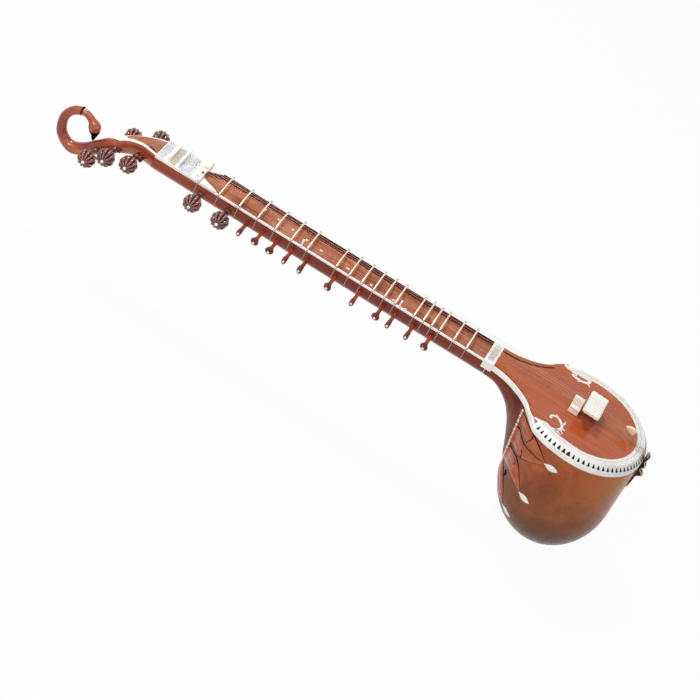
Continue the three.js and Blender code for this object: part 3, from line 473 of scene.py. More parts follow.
def metal(name, color, rough, scratches, stain=None):
    m = Maker(name, Metallic=1.0)
    scratch = m.noise(900, scratches, detail=3, rough=0.6)
    cloud = m.noise(120, detail=5)
    tone = m.blend(m.level(cloud, 0.45, 0.75), srgb(*color), stain or dim(srgb(*color), 0.62))
    tone = m.blend(m.level(scratch, 0.55, 0.75, 0.0, 0.25), tone, srgb(90, 84, 74))
    return m.finish(tone, m.level(cloud, 0.3, 0.7, rough * 0.7, rough * 1.5), m.bump(scratch, 0.08, 0.0001))


def gourd_skin():
    """Varnished gourd: mottled, with painted shade that greys it towards the bottom and darkens it low on the
    near side, and painted light that makes it amber towards the tail.
    """
    m = Maker("gourd_skin", Coat_Weight=0.12, Coat_Roughness=0.14, IOR=1.5, Specular_IOR_Level=0.1)
    cloud = m.noise(13, detail=6, rough=0.6, warp=0.5)
    fine = m.noise(75, detail=6, rough=0.7)
    color = m.ramp(cloud, (0.32, srgb(142, 68, 38)), (0.5, srgb(166, 86, 48)), (0.66, srgb(186, 106, 58)))
    # Painted shade: low grows towards the bottom, side towards the near side, and shade is their patchy product
    low = m.level(m.math("ADD", m.axis("Z"), m.math("MULTIPLY", cloud, 0.1)), 0.27, 0.12)
    side = m.level(m.axis("Y"), 0.02, -0.12)
    shade = m.math("MULTIPLY", m.level(m.noise(7, detail=4), 0.42, 0.62, 0, 0.7), m.math("MULTIPLY", low, side))
    # Painted light makes the tail end amber; painted shade greys the bottom and darkens the lower near side; the
    # fine flecks are the skin's own tone
    for amount, tone in ((m.level(m.axis("X"), -0.02, 0.1, 0, 0.65), (202, 118, 52)),
                         (m.math("MULTIPLY", low, 0.85), (104, 74, 54)),
                         (shade, (74, 52, 42)),
                         (m.level(fine, 0.55, 0.72, 0, 0.4), (104, 46, 22)),
                         (m.level(fine, 0.3, 0.42, 0.25, 0), (200, 128, 76))):
        color = m.blend(amount, color, srgb(*tone))
    rough = m.level(fine, 0.35, 0.7, 0.22, 0.42)
    return m.finish(color, rough, m.bump(fine, 0.10, 0.0006, m.bump(cloud, 0.12, 0.003)))


def two_tone(name, first, second, scale, rough, detail=4, patch=90, spread=(0.0, 1.0), relief=None, **sockets):
    """A plain material in two close tones."""
    m = Maker(name, **sockets)
    tone = m.level(m.noise(scale, detail=detail), *spread)
    normal = m.bump(m.noise(relief), 0.4, 0.0002) if relief else None
    return m.finish(m.blend(tone, srgb(*first), srgb(*second)), m.uneven(patch, *rough), normal)


RED = wood("red_wood", (136, 52, 30), (164, 72, 44), (184, 96, 62), coat=0.25, tail=(120, 48, 38))
HEEL = wood("heel_wood", (88, 32, 22), (116, 46, 30), (140, 62, 40), gloss=0.32, coat=0.08)
HEAD = wood("head_wood", (132, 48, 26), (164, 70, 40), (198, 102, 60), gloss=0.24, coat=1.0)
RAIL = wood("rail_wood", (150, 68, 36), (176, 92, 50), (194, 112, 64), gloss=0.3, coat=0.1)
BOARD = wood("soundboard_wood", (166, 72, 36), (184, 90, 48), (198, 110, 60), grain=0.8, gloss=0.12,
             coat=0.35, pores=0.2)
FRETWOOD = wood("fretboard_wood", (138, 74, 54), (184, 112, 84), (208, 140, 112), grain=1.7, gloss=0.5,
                coat=0.02, pores=0.6, stretch=(0.3, 1, 1))
WALL = wood("inner_wall_wood", (80, 32, 22), (108, 46, 30), (130, 62, 40), gloss=0.35, coat=0.1, shine=0.3)
BOX = wood("pegbox_wood", (222, 140, 106), (246, 180, 146), (252, 208, 178), grain=1.6, gloss=0.35, coat=0.05)
LEAF = wood("leaf_wood", (160, 66, 36), (188, 90, 50), (206, 116, 68), grain=2, gloss=0.2, coat=0.3)
PEG = wood("peg_wood", (62, 22, 18), (98, 38, 30), (134, 62, 50), grain=1.2, gloss=0.2, coat=1.0,
           ridge=0.3, stretch=(1, 0.12, 1), with_shade_and_tone=True)
SMALL_PEG = wood("small_peg_wood", (132, 42, 22), (162, 60, 32), (184, 82, 50), grain=2.4, gloss=0.2,
                 coat=0.4, stretch=(1, 0.12, 1), with_shade_and_tone=True)
TAIL = wood("tailpiece_wood", (36, 17, 13), (60, 28, 21), (84, 44, 32), grain=2, gloss=0.25, coat=0.1)
# Near-black wood: the joint ring's own colour, and painted shade where it stands for the shaded far edge of the
# neck, the far shoulder line and part of the swan's beak
DARK = wood("near_black_wood_and_painted_shade", (22, 10, 8), (36, 16, 12), (54, 24, 18), grain=2, gloss=0.5, coat=0.0, shine=0.0)
BONE = bone("bone")
BONE_WARM = bone("bone_warm", base=(244, 230, 196), lines=0.4, dirt=0.25)
BRIDGE = bone("bridge_bone", base=(254, 251, 244), lines=0.25, dirt=0.12, axis=(1, 0.15, 1))
TAN = bone("tan_bead", base=(214, 188, 146), dirt=0.6)
PLATE = engraved("engraved_plate", (236, 237, 240), (112, 114, 124), amount=0.85)
PLATE_WARM = engraved("engraved_plate_warm", (214, 200, 184), (128, 108, 94), scale=640.0)
FRET = metal("fret_metal", (244, 230, 210), 0.34, (0.2, 1, 1), srgb(196, 176, 142))
STEEL = metal("string_steel", (176, 162, 150), 0.45, (1, 0.05, 1))
BRASS = metal("string_brass", (188, 128, 80), 0.6, (1, 0.05, 1))
GOURD = gourd_skin()
INK = two_tone("black_inlay", (16, 12, 10), (34, 26, 22), 200, (0.3, 0.5), Specular_IOR_Level=0.1, IOR=1.5)
GREY = two_tone("grey_line", (190, 190, 192), (108, 108, 114), 700, (0.4, 0.6), detail=2, spread=(0.4, 0.6),
                Coat_Weight=0.2, IOR=1.5)
THREAD = two_tone("tie_thread", (206, 196, 174), (150, 140, 120), 900, (0.45, 0.7), patch=400, relief=1500,
                  Sheen_Weight=0.3)

# The far edging of the neck is painted near-black as painted shade along the far rail; the near edging is bone
for material, names in ((BOARD, ["soundboard"]), (FRETWOOD, ["fretboard"]), (DARK, ["neck_edging_far"]),
                        (BONE, ["neck_edging_near", "nut", "string_guide", "nut_plate", "junction_plate"])):
    for n in names:
        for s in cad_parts[n].material_slots:
            s.material = material

# ---- face outline
RIM_LENGTH, RIM_HALF, RIM_CENTRE, HEAD_POWER = 130.0, 143.0, 17.0, 2.45
SHOULDER_ANGLE = math.pi - math.acos(0.877 ** (HEAD_POWER / 2))
RING_END = math.pi - math.acos(0.6462 ** (HEAD_POWER / 2))
RING_BEVEL, RING_TOP, RING_BREAK = 10.0, 1.5, -10.0


def signed_power(v, power):
    """A power of v that keeps its sign."""
    return math.copysign(abs(v) ** power, v)


def round_edge(angle, centre, length, half, head_power):
    """An ellipse that is squarer towards the head."""
    c, s = math.cos(angle), math.sin(angle)
    power = 2 / head_power if c < 0 else 1
    return Vector((centre + length * signed_power(c, power), half * signed_power(s, power)))


def rim(angle, inset):
    """The edge of the face round the gourd; angle 0 is at the tail."""
    return round_edge(angle, RIM_CENTRE, RIM_LENGTH - inset, RIM_HALF - inset, HEAD_POWER)


def shoulder(t, inset):
    """The edge from the rim, t = 0, to the neck, t = 1."""
    a = rim(SHOULDER_ANGLE, inset)
    d = Vector((SHOULDER_END, HALF + OVERHANG - inset))
    b = a + Vector((-6.0, -10.7))
    c = Vector((SHOULDER_END + 50.0, d.y))
    return a * (1 - t) ** 3 + b * 3 * t * (1 - t) ** 2 + c * 3 * t * t * (1 - t) + d * t ** 3


# One half of the edge, from the tail to the neck
EDGE = [rim(SHOULDER_ANGLE * t, 0) for t in shares(400)] + [shoulder(t, 0) for t in shares(200, 1)]


def half_width(x):
    if x <= EDGE[-1].x:
        return HALF + OVERHANG
    i = next((k for k, p in enumerate(EDGE) if p.x <= x), 1)
    a, b = EDGE[max(i - 1, 0)], EDGE[i]
    return mix(a.y, b.y, (a.x - x) / max(a.x - b.x, 1e-9))


def thinned(x):
    """0 where the binding is a full ring and 1 where it is a thin strip."""
    t = clamp((-62.0 - x) / 26.0)
    return t * t * (3 - 2 * t)


# ---- binding ring
def ring_section(t):
    """Insets and heights of the binding; t is 0 on the full ring and 1 on the thin strip."""
    early = min(t * 1.3, 1)
    low = mix(-20.0, -11.5, t)
    break_z = mix(RING_BREAK, -0.8, early)
    bevel = mix(RING_BEVEL, 1.2, early)
    top = mix(RING_TOP, 0.0, t)
    inner = mix(26.0, 2.0, min(t * 1.6, 1))
    slope = Vector((bevel, top - break_z)).normalized() * min(0.7, bevel / 3)
    return [(2.9, low), (0.5, low), (0.15, low + 0.15), (0.0, low + 0.5),
            (0.0, mix(low, break_z, 0.5)), (0.0, break_z - 0.7), (0.12, break_z - 0.25),
            (slope.x, break_z + slope.y), (bevel - slope.x, top - slope.y),
            (bevel - 0.15, top - 0.08), (bevel + min(0.5, inner - bevel - 0.1), top),
            (mix(bevel, inner, 0.6), top), (inner - 0.3, top), (inner, top - 0.3),
            (inner, mix(GAP, -4.0, t)), (mix(11.5, 1.9, early), mix(GAP, -5.0, t))]


def ring_half(side):
    stations = [(rim, SHOULDER_ANGLE * t) for t in shares(150)] + [(shoulder, t) for t in shares(110, 1)]
    return [[sided(edge(u, inset), side, z) for inset, z in ring_section(thinned(edge(u, 0).x))]
            for edge, u in stations]


piece("binding", loft(ring_half(-1)[::-1] + ring_half(1)[1:]), BONE, node="binding_ring", sharp=35)


def on_bevel(angle, share, side):
    """A point on the ring's bevel; share 0 is its outer edge."""
    p = rim(angle, 0.0).lerp(rim(angle, RING_BEVEL), share)
    return sided(p, side, mix(RING_BREAK, RING_TOP, share))


def arc_angles(inset, spacing, start, stop):
    """Angles along the rim with an even spacing."""
    out, gone, last = [], 0.0, rim(start, inset)
    for t in shares(2000, 1):
        a = mix(start, stop, t)
        p = rim(a, inset)
        gone += (p - last).length
        last = p
        if gone >= spacing:
            out.append(a)
            gone = 0.0
    return out


def tile(corners, lift, sink):
    """A low solid tile over a flat polygon of points."""
    normal = (corners[1] - corners[0]).cross(corners[2] - corners[0]).normalized()
    return loft([[c - normal * sink for c in corners], [c + normal * lift for c in corners]])


WEDGE = ((-0.023, 0.14), (0.023, 0.14), (0.0115, 0.62), (-0.0023, 0.7))
tiles = []
for side in (1, -1):
    for a in arc_angles(5, 10.6, -0.04, RING_END - 0.02):
        corners = [on_bevel(a + wide, share, side) for wide, share in WEDGE]
        tiles.append(tile(corners[::-side], 0.12, 0.3))
piece("binding_dots", join(*tiles), INK, sharp=20)


def face_band(inset_a, inset_b, side):
    """A thin inlaid band on the ring's flat top."""
    rings = []
    for t in shares(180):
        p, q = rim(RING_END * t, inset_a), rim(RING_END * t, inset_b)
        rings.append([sided(e, side, RING_TOP + z) for e, z in ((p, -0.2), (q, -0.2), (q, 0.06), (p, 0.06))])
    return loft(rings)


piece("binding_lines", join(*[face_band(a, b, side) for a, b in ((12.2, 12.7), (17.6, 18.6), (24.4, 24.8))
                              for side in (1, -1)]), GREY)
specks = []
random.seed(4)
for inset, spacing, size in ((14.6, 2.6, 0.8), (16.2, 3.4, 0.55), (20.3, 2.4, 0.8), (22.6, 3.1, 0.6)):
    for side in (1, -1):
        for a in arc_angles(inset, spacing, 0.0, RING_END - 0.015):
            c = rim(a, inset + random.uniform(-0.3, 0.3))
            s = size * random.uniform(0.6, 1.15)
            turn = random.uniform(0, 1.5)
            specks.append(tile([Vector((c.x + s * math.cos(b), side * c.y + s * 0.8 * math.sin(b), RING_TOP))
                                for b in (turn + k * math.pi / 2 for k in range(4))], 0.05, 0.2))
piece("binding_specks", join(*specks), GREY)

# ---- gourd and heel
BELLY_DEPTH, GOURD_DEPTH, BELLY_X, BELLY_LENGTH, BELLY_HALF = 158.0, 284.0, 32.0, 115.96, 136.99
GOURD_SIDES = 160
SEAM_X, SEAM_LEAN = -101.0, 0.1275
HEEL_X = [-190.0, -175.05, -155.03, -136.05, -116.94, -97.96, -87.95, -70.01, -60.0]
HEEL_D = [0.004, 0.012, 0.065, 0.147, 0.3, 0.547, 0.706, 0.912, 1.0]
HEEL_END, HEEL_DEPTH, HEEL_HALF, HEEL_SOFT, HEEL_CAP = -60.0, 218.1, 86.0, 8, 18
TUCK = 6.0
# In metres: a smoothed point goes back to the exact shapes unless it is farther off than this
VOXEL, KEPT_OFF, KEPT_RANGE = 0.0028, 0.0006, 0.0012


def gourd_ring(depth):
    share = clamp(depth / BELLY_DEPTH)
    below = max(depth - BELLY_DEPTH, 0) / (GOURD_DEPTH - BELLY_DEPTH)
    shrink = math.sqrt(max(1 - below * below, 0))
    size = (mix(RIM_CENTRE, BELLY_X, share), mix(RIM_LENGTH - 1, BELLY_LENGTH, share) * shrink,
            mix(RIM_HALF - 1, BELLY_HALF, share) * shrink, mix(HEAD_POWER, 2, share))
    return [round_edge(2 * math.pi * i / GOURD_SIDES, *size).to_3d() - Vector((0, 0, depth))
            for i in range(GOURD_SIDES)]


def gourd_shape():
    depths = [mix(TUCK, BELLY_DEPTH, t) for t in shares(40)]
    depths += [BELLY_DEPTH + (GOURD_DEPTH - BELLY_DEPTH) * math.sin(t * math.pi / 2) for t in shares(40, 1)[:-1]]
    verts, faces = loft([gourd_ring(d) for d in depths], caps=False)
    last = len(verts) - GOURD_SIDES
    verts.append(Vector((BELLY_X, 0, -GOURD_DEPTH)))
    faces += [(last + i, last + (i + 1) % GOURD_SIDES, len(verts) - 1) for i in range(GOURD_SIDES)]
    faces.append(tuple(reversed(range(GOURD_SIDES))))
    return verts, faces


def under(x, half, depth, steps):
    """The round underside of a neck or heel section, from half to -half."""
    return [Vector((x, half * math.cos(a), -SIDE_DEPTH - (depth - SIDE_DEPTH) * math.sin(a)))
            for a in (math.pi * i / steps for i in range(steps + 1))]


def heel_ring(x):
    w = half_width(x) - OVERHANG
    start = HEEL_HALF - HEEL_SOFT
    if w > start:
        w = start + HEEL_SOFT * (1 - math.exp(-(w - start) / HEEL_SOFT))
    depth = mix(NECK_DEPTH, HEEL_DEPTH, table(HEEL_X, HEEL_D, x))
    return [Vector((x, w, -TUCK)), *under(x, w, depth, 48), Vector((x, -w, -TUCK))]


def heel_shape():
    xs = [-225.0 + i * 5.0 for i in range(7)] + [-190 + i * 1.5 for i in range(87)] + [HEEL_END]
    rings = [heel_ring(x) for x in xs]
    end = rings[-1]
    for k in range(1, 6):
        a = k / 6 * math.pi / 2
        shrink = mix(0.8, 1, math.cos(a))
        rings.append([Vector((HEEL_END + HEEL_CAP * math.sin(a), p.y * shrink,
                              mix(-100, p.z, shrink) if p.z < -13 else p.z)) for p in end])
    return loft(rings)


def smooth(bm, times):
    for _ in range(times):
        bmesh.ops.smooth_vert(bm, verts=bm.verts, factor=0.5, use_axis_x=True, use_axis_y=True, use_axis_z=True)


def body_mesh():
    """Gourd and heel fused with a soft crease, as a bmesh in face millimetres."""
    verts, faces = join(gourd_shape(), heel_shape())
    mesh = bpy.data.meshes.new("fused")
    mesh.from_pydata([v * MM for v in verts], [], faces)
    clean(mesh)
    bm = bmesh.new()
    bm.from_mesh(mesh)
    exact = BVHTree.FromBMesh(bm)
    bm.free()
    obj = link("fused", mesh)
    remesh = obj.modifiers.new("voxels", "REMESH")
    remesh.mode = "VOXEL"
    remesh.voxel_size = VOXEL
    remesh.adaptivity = 0
    bm = bmesh.new()
    bm.from_mesh(applied(obj))
    bpy.data.objects.remove(obj)
    smooth(bm, 14)
    for v in bm.verts:
        hit, _, _, off = exact.find_nearest(v.co)
        v.co = hit.lerp(v.co, clamp((off - KEPT_OFF) / KEPT_RANGE))
    smooth(bm, 2)
    return bm


def cut(bm, point, normal, keep_positive):
    """Cuts the mesh by a plane, drops one side and closes the hole."""
    result = bmesh.ops.bisect_plane(bm, geom=bm.verts[:] + bm.edges[:] + bm.faces[:], plane_co=point,
                                    plane_no=normal, clear_inner=keep_positive, clear_outer=not keep_positive)
    edges = [e for e in result["geom_cut"] if isinstance(e, bmesh.types.BMEdge)]
    bmesh.ops.triangle_fill(bm, use_beauty=True, edges=edges)


def cut_height(x):
    """The underside of the binding, where the body ends."""
    return mix(-20.3, -11.8, thinned(x))


BODY = body_mesh()
for v in BODY.verts:
    v.co.z -= cut_height(v.co.x / MM) * MM
cut(BODY, (0, 0, 0), (0, 0, 1), False)
for v in BODY.verts:
    v.co.z += cut_height(v.co.x / MM) * MM
cut(BODY, (HEEL_START * MM, 0, 0), (1, 0, 0), True)
SKIN = BVHTree.FromBMesh(BODY)

for name, material, slot, node, towards_tail in (("gourd_shell", GOURD, "gourd_shell", "gourd", True),
                                                 ("heel_block", HEEL, "red_wood", "neck_heel", False)):
    bm = BODY.copy()
    cut(bm, (SEAM_X * MM, 0, 0), Vector((1, 0, SEAM_LEAN)).normalized(), towards_tail)
    for v in bm.verts:
        v.co = row(v.co / MM)
    mesh = bpy.data.meshes.new(name)
    clean(mesh, bm)
    mesh.materials.append(material)
    shade(mesh, 50)
    place(name, mesh, "instrument", node)

# ---- neck
inner = HALF - 5.5
channel = -12.0 - GAP
neck_edge = [(HALF, -3.7), (HALF - 4.3, -3.7), (HALF - 4.3, -0.3), (HALF - 4.6, 0), (inner + 0.3, 0),
             (inner, -0.3), (inner, channel), (inner - 1.7, channel)]
neck_edge += [(-y, z) for y, z in reversed(neck_edge)]
piece("neck_body", loft([[Vector((x, y, z)) for y, z in neck_edge] + under(x, -HALF, NECK_DEPTH, 48)
                         for x in (NECK_END, -800, -600, -400, NECK_START)]),
      RED, node="neck", sharp=35)

# ---- eyelets and shoulder trim
SMALL = (0.8147, 0.7777, 0.7417, 0.7047, 0.6676, 0.6, 0.54, 0.4834, 0.4529, 0.4081, 0.3657)
HOLE_SHIFT = 11
HOLES = [(string_x(share) + HOLE_SHIFT, mix(20, -28.5, k / 10)) for k, share in enumerate(SMALL)]
EYELET = ((1.35, -8.6), (1.35, -7.75), (1.7, -7.5), (2.6, -7.45), (3.1, -7.7), (3.1, -8.6), (1.35, -8.6))
for k, (x, y) in enumerate(HOLES):
    piece(f"string_eyelet_{k + 1:02d}", loft([hoop(x, y, z, r, 20) for r, z in EYELET], caps=False), BONE)

# The shoulder's parameter and its place along X, from the neck to the ring
STATIONS = []
for t in shares(70):
    x = shoulder(1 - t, 0).x
    if x > -76:
        break
    STATIONS.append((1 - t, x))
RAIL_SECTION = ((0, 0.8), (0.12, 1), (0.5, 1.12), (0.88, 1), (1, 0.7))


def rail_inset(x):
    return table([SHOULDER_END, -137, -105, -88, -76], [14.5, 14, 10.5, 7.5, 5], x)


def fading(x, full, low):
    """A height that falls from full on the neck to low near the ring."""
    return mix(full, low, clamp((x + 150) / 70))


def rail_ring(u, x, side):
    a, b = shoulder(u, 2.4), shoulder(u, rail_inset(x))
    heights = [(0, -0.4)] + [(q, fading(x, 2.4, 0.6) * h) for q, h in RAIL_SECTION] + [(1, -0.4)]
    return [sided(a.lerp(b, q), side, z) for q, z in heights]


def line_ring(u, x, side):
    a, b = shoulder(u, rail_inset(x) - 0.2), shoulder(u, rail_inset(x) + 1.1)
    return [sided(c, side, z) for c, z in ((a, -0.3), (b, -0.3), (b, 0.2), (a, fading(x, 1.9, 0.5)))]


piece("shoulder_rails", both(lambda side: loft([rail_ring(u, x, side) for u, x in STATIONS])), RAIL,
      sharp=50)
# The far shoulder line is a strip of painted shade on the far rail's inner face; the near one, in the
# soundboard's wood, is a painted highlight along the near rail's inner edge
for side, name, material, slot in ((1, "far", DARK, "dark_wood"), (-1, "near", BOARD, "board_wood")):
    piece("shoulder_painted_light_line_" + name, loft([line_ring(u, x, side) for u, x in STATIONS]), material)

# ---- engraving of the two plates
PLATE_TOP = GAP + 1.2
piece("junction_engraving", box_shape(SHOULDER_END - 17, SHOULDER_END - 5, -31, 31, 1.7, 1.96), PLATE)


def leaf_outline(x, y, turn, length, width):
    outline = []
    for i in range(24):
        t = i / 24 * 2 * math.pi
        u = (1 - math.cos(t)) / 2
        w = math.sin(t) * math.sqrt(max(u * (1 - u), 0)) * 2 * (1 - 0.4 * u)
        p = Vector((u * length, w * width / 2, 0))
        p.rotate(Matrix.Rotation(turn, 3, "Z"))
        outline.append(Vector((x + p.x, y + p.y, PLATE_TOP)))
    return outline


def plate_bands(spans, half=35.5, lift=0.12):
    return join(*[box_shape(a, b, -half, half, PLATE_TOP - 0.3, PLATE_TOP + lift) for a, b in spans])


piece("nut_plate_engraving", plate_bands([(NECK_END + 1.5, NECK_END + 15), (NUT_X + 6, NUT_X + 13),
                                          (NUT_X + 15.5, NUT_X + 27)]), PLATE)
piece("nut_plate_band", plate_bands([(NUT_X - 17, NUT_X - 5.5)]), PLATE_WARM)
piece("nut_plate_leaves", both(lambda s: slab(leaf_outline(NUT_X + 46, s * 21, math.pi + s * 0.15, 11, 7),
                                              -0.3, 0.12)), PLATE_WARM)
border = [(x, x + 0.7) for x in (NECK_END + 16, NUT_X + 4.6, NUT_X + 14, NUT_X + 28.5)]
piece("nut_plate_border", plate_bands(border, 36.5, 0.1), GREY)

# ---- frets
FRET_STEPS = (1, 2, 3, 4, 5, 6, 7, 9, 10, 11, 12, 13, 14, 16, 17, 18, 19, 21, 23)
FRET_R, FRET_RISE = 1.8, 8
FRETTED = STRING_LENGTH * 0.9657
SEAT = GAP + FRET_R * math.sin(math.pi / 3)
PLATE_END, PLATE_RISE = NUT_X + 88, 1.5
TIE_R, KNOT_R = 0.42, 2.05


def tie_loop(x, start_z):
    """The tie's path round the neck's underside, from the near rail to the far rail."""
    half = HALF + TIE_R
    heights = (start_z, mix(start_z, -SIDE_DEPTH, 0.5))
    return [*[Vector((x, -half, z)) for z in heights], *under(x, -half, NECK_DEPTH + TIE_R, 40),
            *[Vector((x, half, z)) for z in heights[::-1]]]


for k, step in enumerate(FRET_STEPS):
    x = NUT_X + FRETTED * (1 - 2 ** (-step / 12))
    rise = PLATE_RISE if x < PLATE_END else 0.0
    bar = [(-HALF - 2.6, -1.7, 1.0), (-HALF - 2.1, -0.3, 1.3), (-HALF - 0.9, 0.35, 1.6)]
    for s in (mix(-1, 1, t) for t in shares(32)):
        bar.append((HALF * s, FRET_RISE * (1 - s * s) + (0.5 if abs(s) == 1 else 0), FRET_R))
    bar += [(HALF + 1.4, 0.6, 1.7), (HALF + 2.8, 0.5, 1.5), (HALF + 4.0, 0.9, 1.1)]
    body = f"fret_{k + 1:02d}"
    piece(f"{body}_bar", sweep([(x, y, SEAT + z + rise) for y, z, _ in bar], [r for _, _, r in bar], 12),
          FRET, body=body, node=body, sharp=60)
    ties = [sweep(tie_loop(x + dx, SEAT - 0.6 + rise), 0.36, 6) for dx in (-TIE_R, TIE_R)]
    for y in [s * (HALF + at + n * 0.7) for s, at in ((-1, 0.3), (1, 1.3)) for n in range(3)]:
        ties.append(sweep(hoop(x, y, SEAT + 0.35 + rise, KNOT_R, 14, True, True), 0.32, 6))
    piece(f"{body}_tie", join(*ties), THREAD, body=body, sharp=60)

# ---- head
HEAD_LENGTH, HEAD_FALL = 200, 115
HEAD_X = [0, .075, .155, .25, .33, .45, .58, .67, .7835, .881, .966, .997, .976, .9235, .856]
HEAD_Z = [.104, .11, .136, .209, .296, .461, .652, .809, .922, .892, .752, .539, .378, .265, .208]
TUBE = [.345, .344, .304, .283, .256, .245, .24, .232]
HEAD_W = [1, .853, .667, .507, .427, .387, .347] + TUBE
HEAD_UP = [.32, .32, .333, .373, .4, .4, .347] + TUBE
HEAD_DOWN = [.827, .82, .78, .67, .55, .427, .347] + TUBE
HEAD_POW = [8, 6, 4, 3, 2.5] + [2] * 10
HEAD_MID = [Vector((NECK_END - GAP - HEAD_LENGTH * a, 0, -HEAD_FALL * b)) for a, b in zip(HEAD_X, HEAD_Z)]
HEAD_SIDES, HEAD_STEPS = 72, 140
SLOT_END, SLOT_POINT, SLOT_WALL, SLOT_Z = NECK_END - 72, 22, 9, (-34, -34, 8, 8)


def head_at(x):
    """The head's middle height, half width and depth below the middle at x."""
    i = next((k for k, p in enumerate(HEAD_MID) if k > 0 and p.x <= x), 1)
    a, b = HEAD_MID[i - 1], HEAD_MID[i]
    t = (a.x - x) / (a.x - b.x)
    return (mix(a.z, b.z, t), HALF * mix(HEAD_W[i - 1], HEAD_W[i], t),
            HALF * mix(HEAD_DOWN[i - 1], HEAD_DOWN[i], t))


def head_ring(t):
    p = spline(HEAD_MID, t)
    along = (spline(HEAD_MID, min(t + 0.004, 1)) - spline(HEAD_MID, max(t - 0.004, 0))).normalized()
    turning = t * 14 / 0.6
    if turning < 1:
        along = Vector((-1, 0, 0)).lerp(along, turning).normalized()
    up = Vector((along.z, 0, -along.x))
    w, rise, fall, power = (even(column, t) for column in (HEAD_W, HEAD_UP, HEAD_DOWN, HEAD_POW))
    ring = []
    for k in range(HEAD_SIDES):
        c, s = math.cos(2 * math.pi * k / HEAD_SIDES), math.sin(2 * math.pi * k / HEAD_SIDES)
        q = 2 / (power if s > 1e-9 else 2)
        ring.append(p + Vector((0, HALF * w * signed_power(c, q), 0))
                    + up * (HALF * (rise if s > 0 else fall) * signed_power(s, q)))
    return ring


# Bone on the top of the pegbox, narrowing to a point at the end of the slot
head_mats = []
for r in range(HEAD_STEPS):
    x = spline(HEAD_MID, (r + 0.5) / HEAD_STEPS).x
    half = HEAD_SIDES // 8 * clamp((x - (SLOT_END - SLOT_POINT)) / SLOT_POINT) if r < HEAD_STEPS * 0.5 else 0
    head_mats += [1 if abs(k + 0.5 - HEAD_SIDES / 4) < half - 0.01 else 0 for k in range(HEAD_SIDES)]
HEAD_MATERIALS = [HEAD, BONE, BOX]
head = piece("head_body", loft([head_ring(t) for t in shares(HEAD_STEPS)]), HEAD_MATERIALS,
             node="head", sharp=45, face_mats=head_mats + [0, 0])
slot_rings = []
for t in shares(24):
    x = mix(NECK_END + 4, SLOT_END, t)
    w = head_at(min(x, NECK_END - 1))[1] - SLOT_WALL
    if t > 0.9:
        w *= math.sqrt(max(1 - ((t - 0.9) / 0.1) ** 2, 0.05))
    slot_rings.append([Vector((x, y, z)) for y, z in zip((-w, w, w, -w), SLOT_Z)])
slot_shape = loft(slot_rings)
cutter_mesh = build("slot_cutter", slot_shape, HEAD_MATERIALS, face_mats=[2] * len(slot_shape[1]))
clean(cutter_mesh)
cutter = link("slot_cutter", cutter_mesh)
saw = head.modifiers.new("slot", "BOOLEAN")
saw.object = cutter
saw.operation = "DIFFERENCE"
saw.solver = "EXACT"
cut_head = applied(head)
head.modifiers.clear()
head.data = cut_head
bpy.data.objects.remove(cutter)
shade(cut_head, 45)

# A dark ring hides the joint of the tube and the swan's neck
curl_end = HEAD_MID[-1]
piece("neck_joint_ring", sweep([curl_end + Vector((d, 0, 0)) for d in (-2.4, -1.6, 0.2, 1.0)],
                               [8.6, 9.4, 9.2, 7.8], 32), DARK)

# ---- swan
SWAN_X = [0, .19, .39, .585, .736, .84, .919, .975, 1]
SWAN_Z = [0, 0, .055, .166, .277, .394, .569, .743, 1]
SWAN_R = [.617, .586, .594, .64, .89, 1, .83, .48, .12]
SWAN_MID = [curl_end + Vector((GAP + 40.5 * a, 0, -44.4 * b)) for a, b in zip(SWAN_X, SWAN_Z)]


def swan_line(start, stop, steps, grow=0.0):
    """Points along the swan's middle and the radius at each."""
    ts = [mix(start, stop, t) for t in shares(steps)]
    return [spline(SWAN_MID, t) for t in ts], [12.8 * even(SWAN_R, t) + grow for t in ts]


piece("swan", sweep(*swan_line(0, 1, 64), 36, squash=0.94), HEAD, node="swan_head", sharp=60)
crown = spline(SWAN_MID, 0.60) + Vector((1.5, 0, 1.5))
EYE = ((1.9, -1.6), (1.9, 0.2), (1.4, 0.8), (0.4, 1.05))
piece("swan_eyes", both(lambda side: loft([hoop(crown.x, side * (10.2 + d), crown.z, r, 16, True)
                                           for r, d in EYE])), INK)
# The near-black beak is partly the carving's dark beak and partly painted shade under the swan's head
piece("swan_beak", sweep(*swan_line(0.735, 1.0, 14, 0.4), 28, squash=0.94), DARK)
piece("swan_brow", sweep([q + Vector((0.75, 0, 0.66)) * r for q, r in zip(*swan_line(0.52, 0.82, 12))],
                         [0.5] + [1.3] * 11 + [0.5], 10), HEAD)


# ---- pegs
def turned_peg(profile, bone_from, sides, look):
    """A turned peg along +Y; look(n, y, angle) gives its two radius factors and the value that the peg wood turns
    into painted shade, painted highlight and darker tone.
    """
    rings, shades_and_tones = [], []
    for n, (r, y) in enumerate(profile):
        ring = []
        for k in range(sides):
            a = 2 * math.pi * k / sides
            wide, high, tint = look(n, y, a)
            ring.append(Vector((r * wide * math.cos(a), y, r * high * math.sin(a))))
            shades_and_tones.append(tint)
        rings.append(ring)
    mats = [1 if n >= bone_from else 0 for n in range(len(profile) - 1) for _ in range(sides)]
    return *loft(rings), shades_and_tones, mats + [0, 1]


def place_peg(node, peg, at, turn, flip, side, material):
    verts, faces, shades_and_tones, mats = peg
    spin = Matrix.Rotation(turn, 3, "Y")
    verts = [Vector((at[0] + flip * v.x, side * v.y, at[1] + v.z)) for v in (spin @ p for p in verts)]
    piece(node + "_turned", (verts, faces), [material, BONE], body=node, node=node, sharp=50,
          face_mats=mats, tint=shades_and_tones)


BALL, FLUTES, FLUTE_DEPTH, BALL_ROWS = 18.5, 11, 0.26, 34


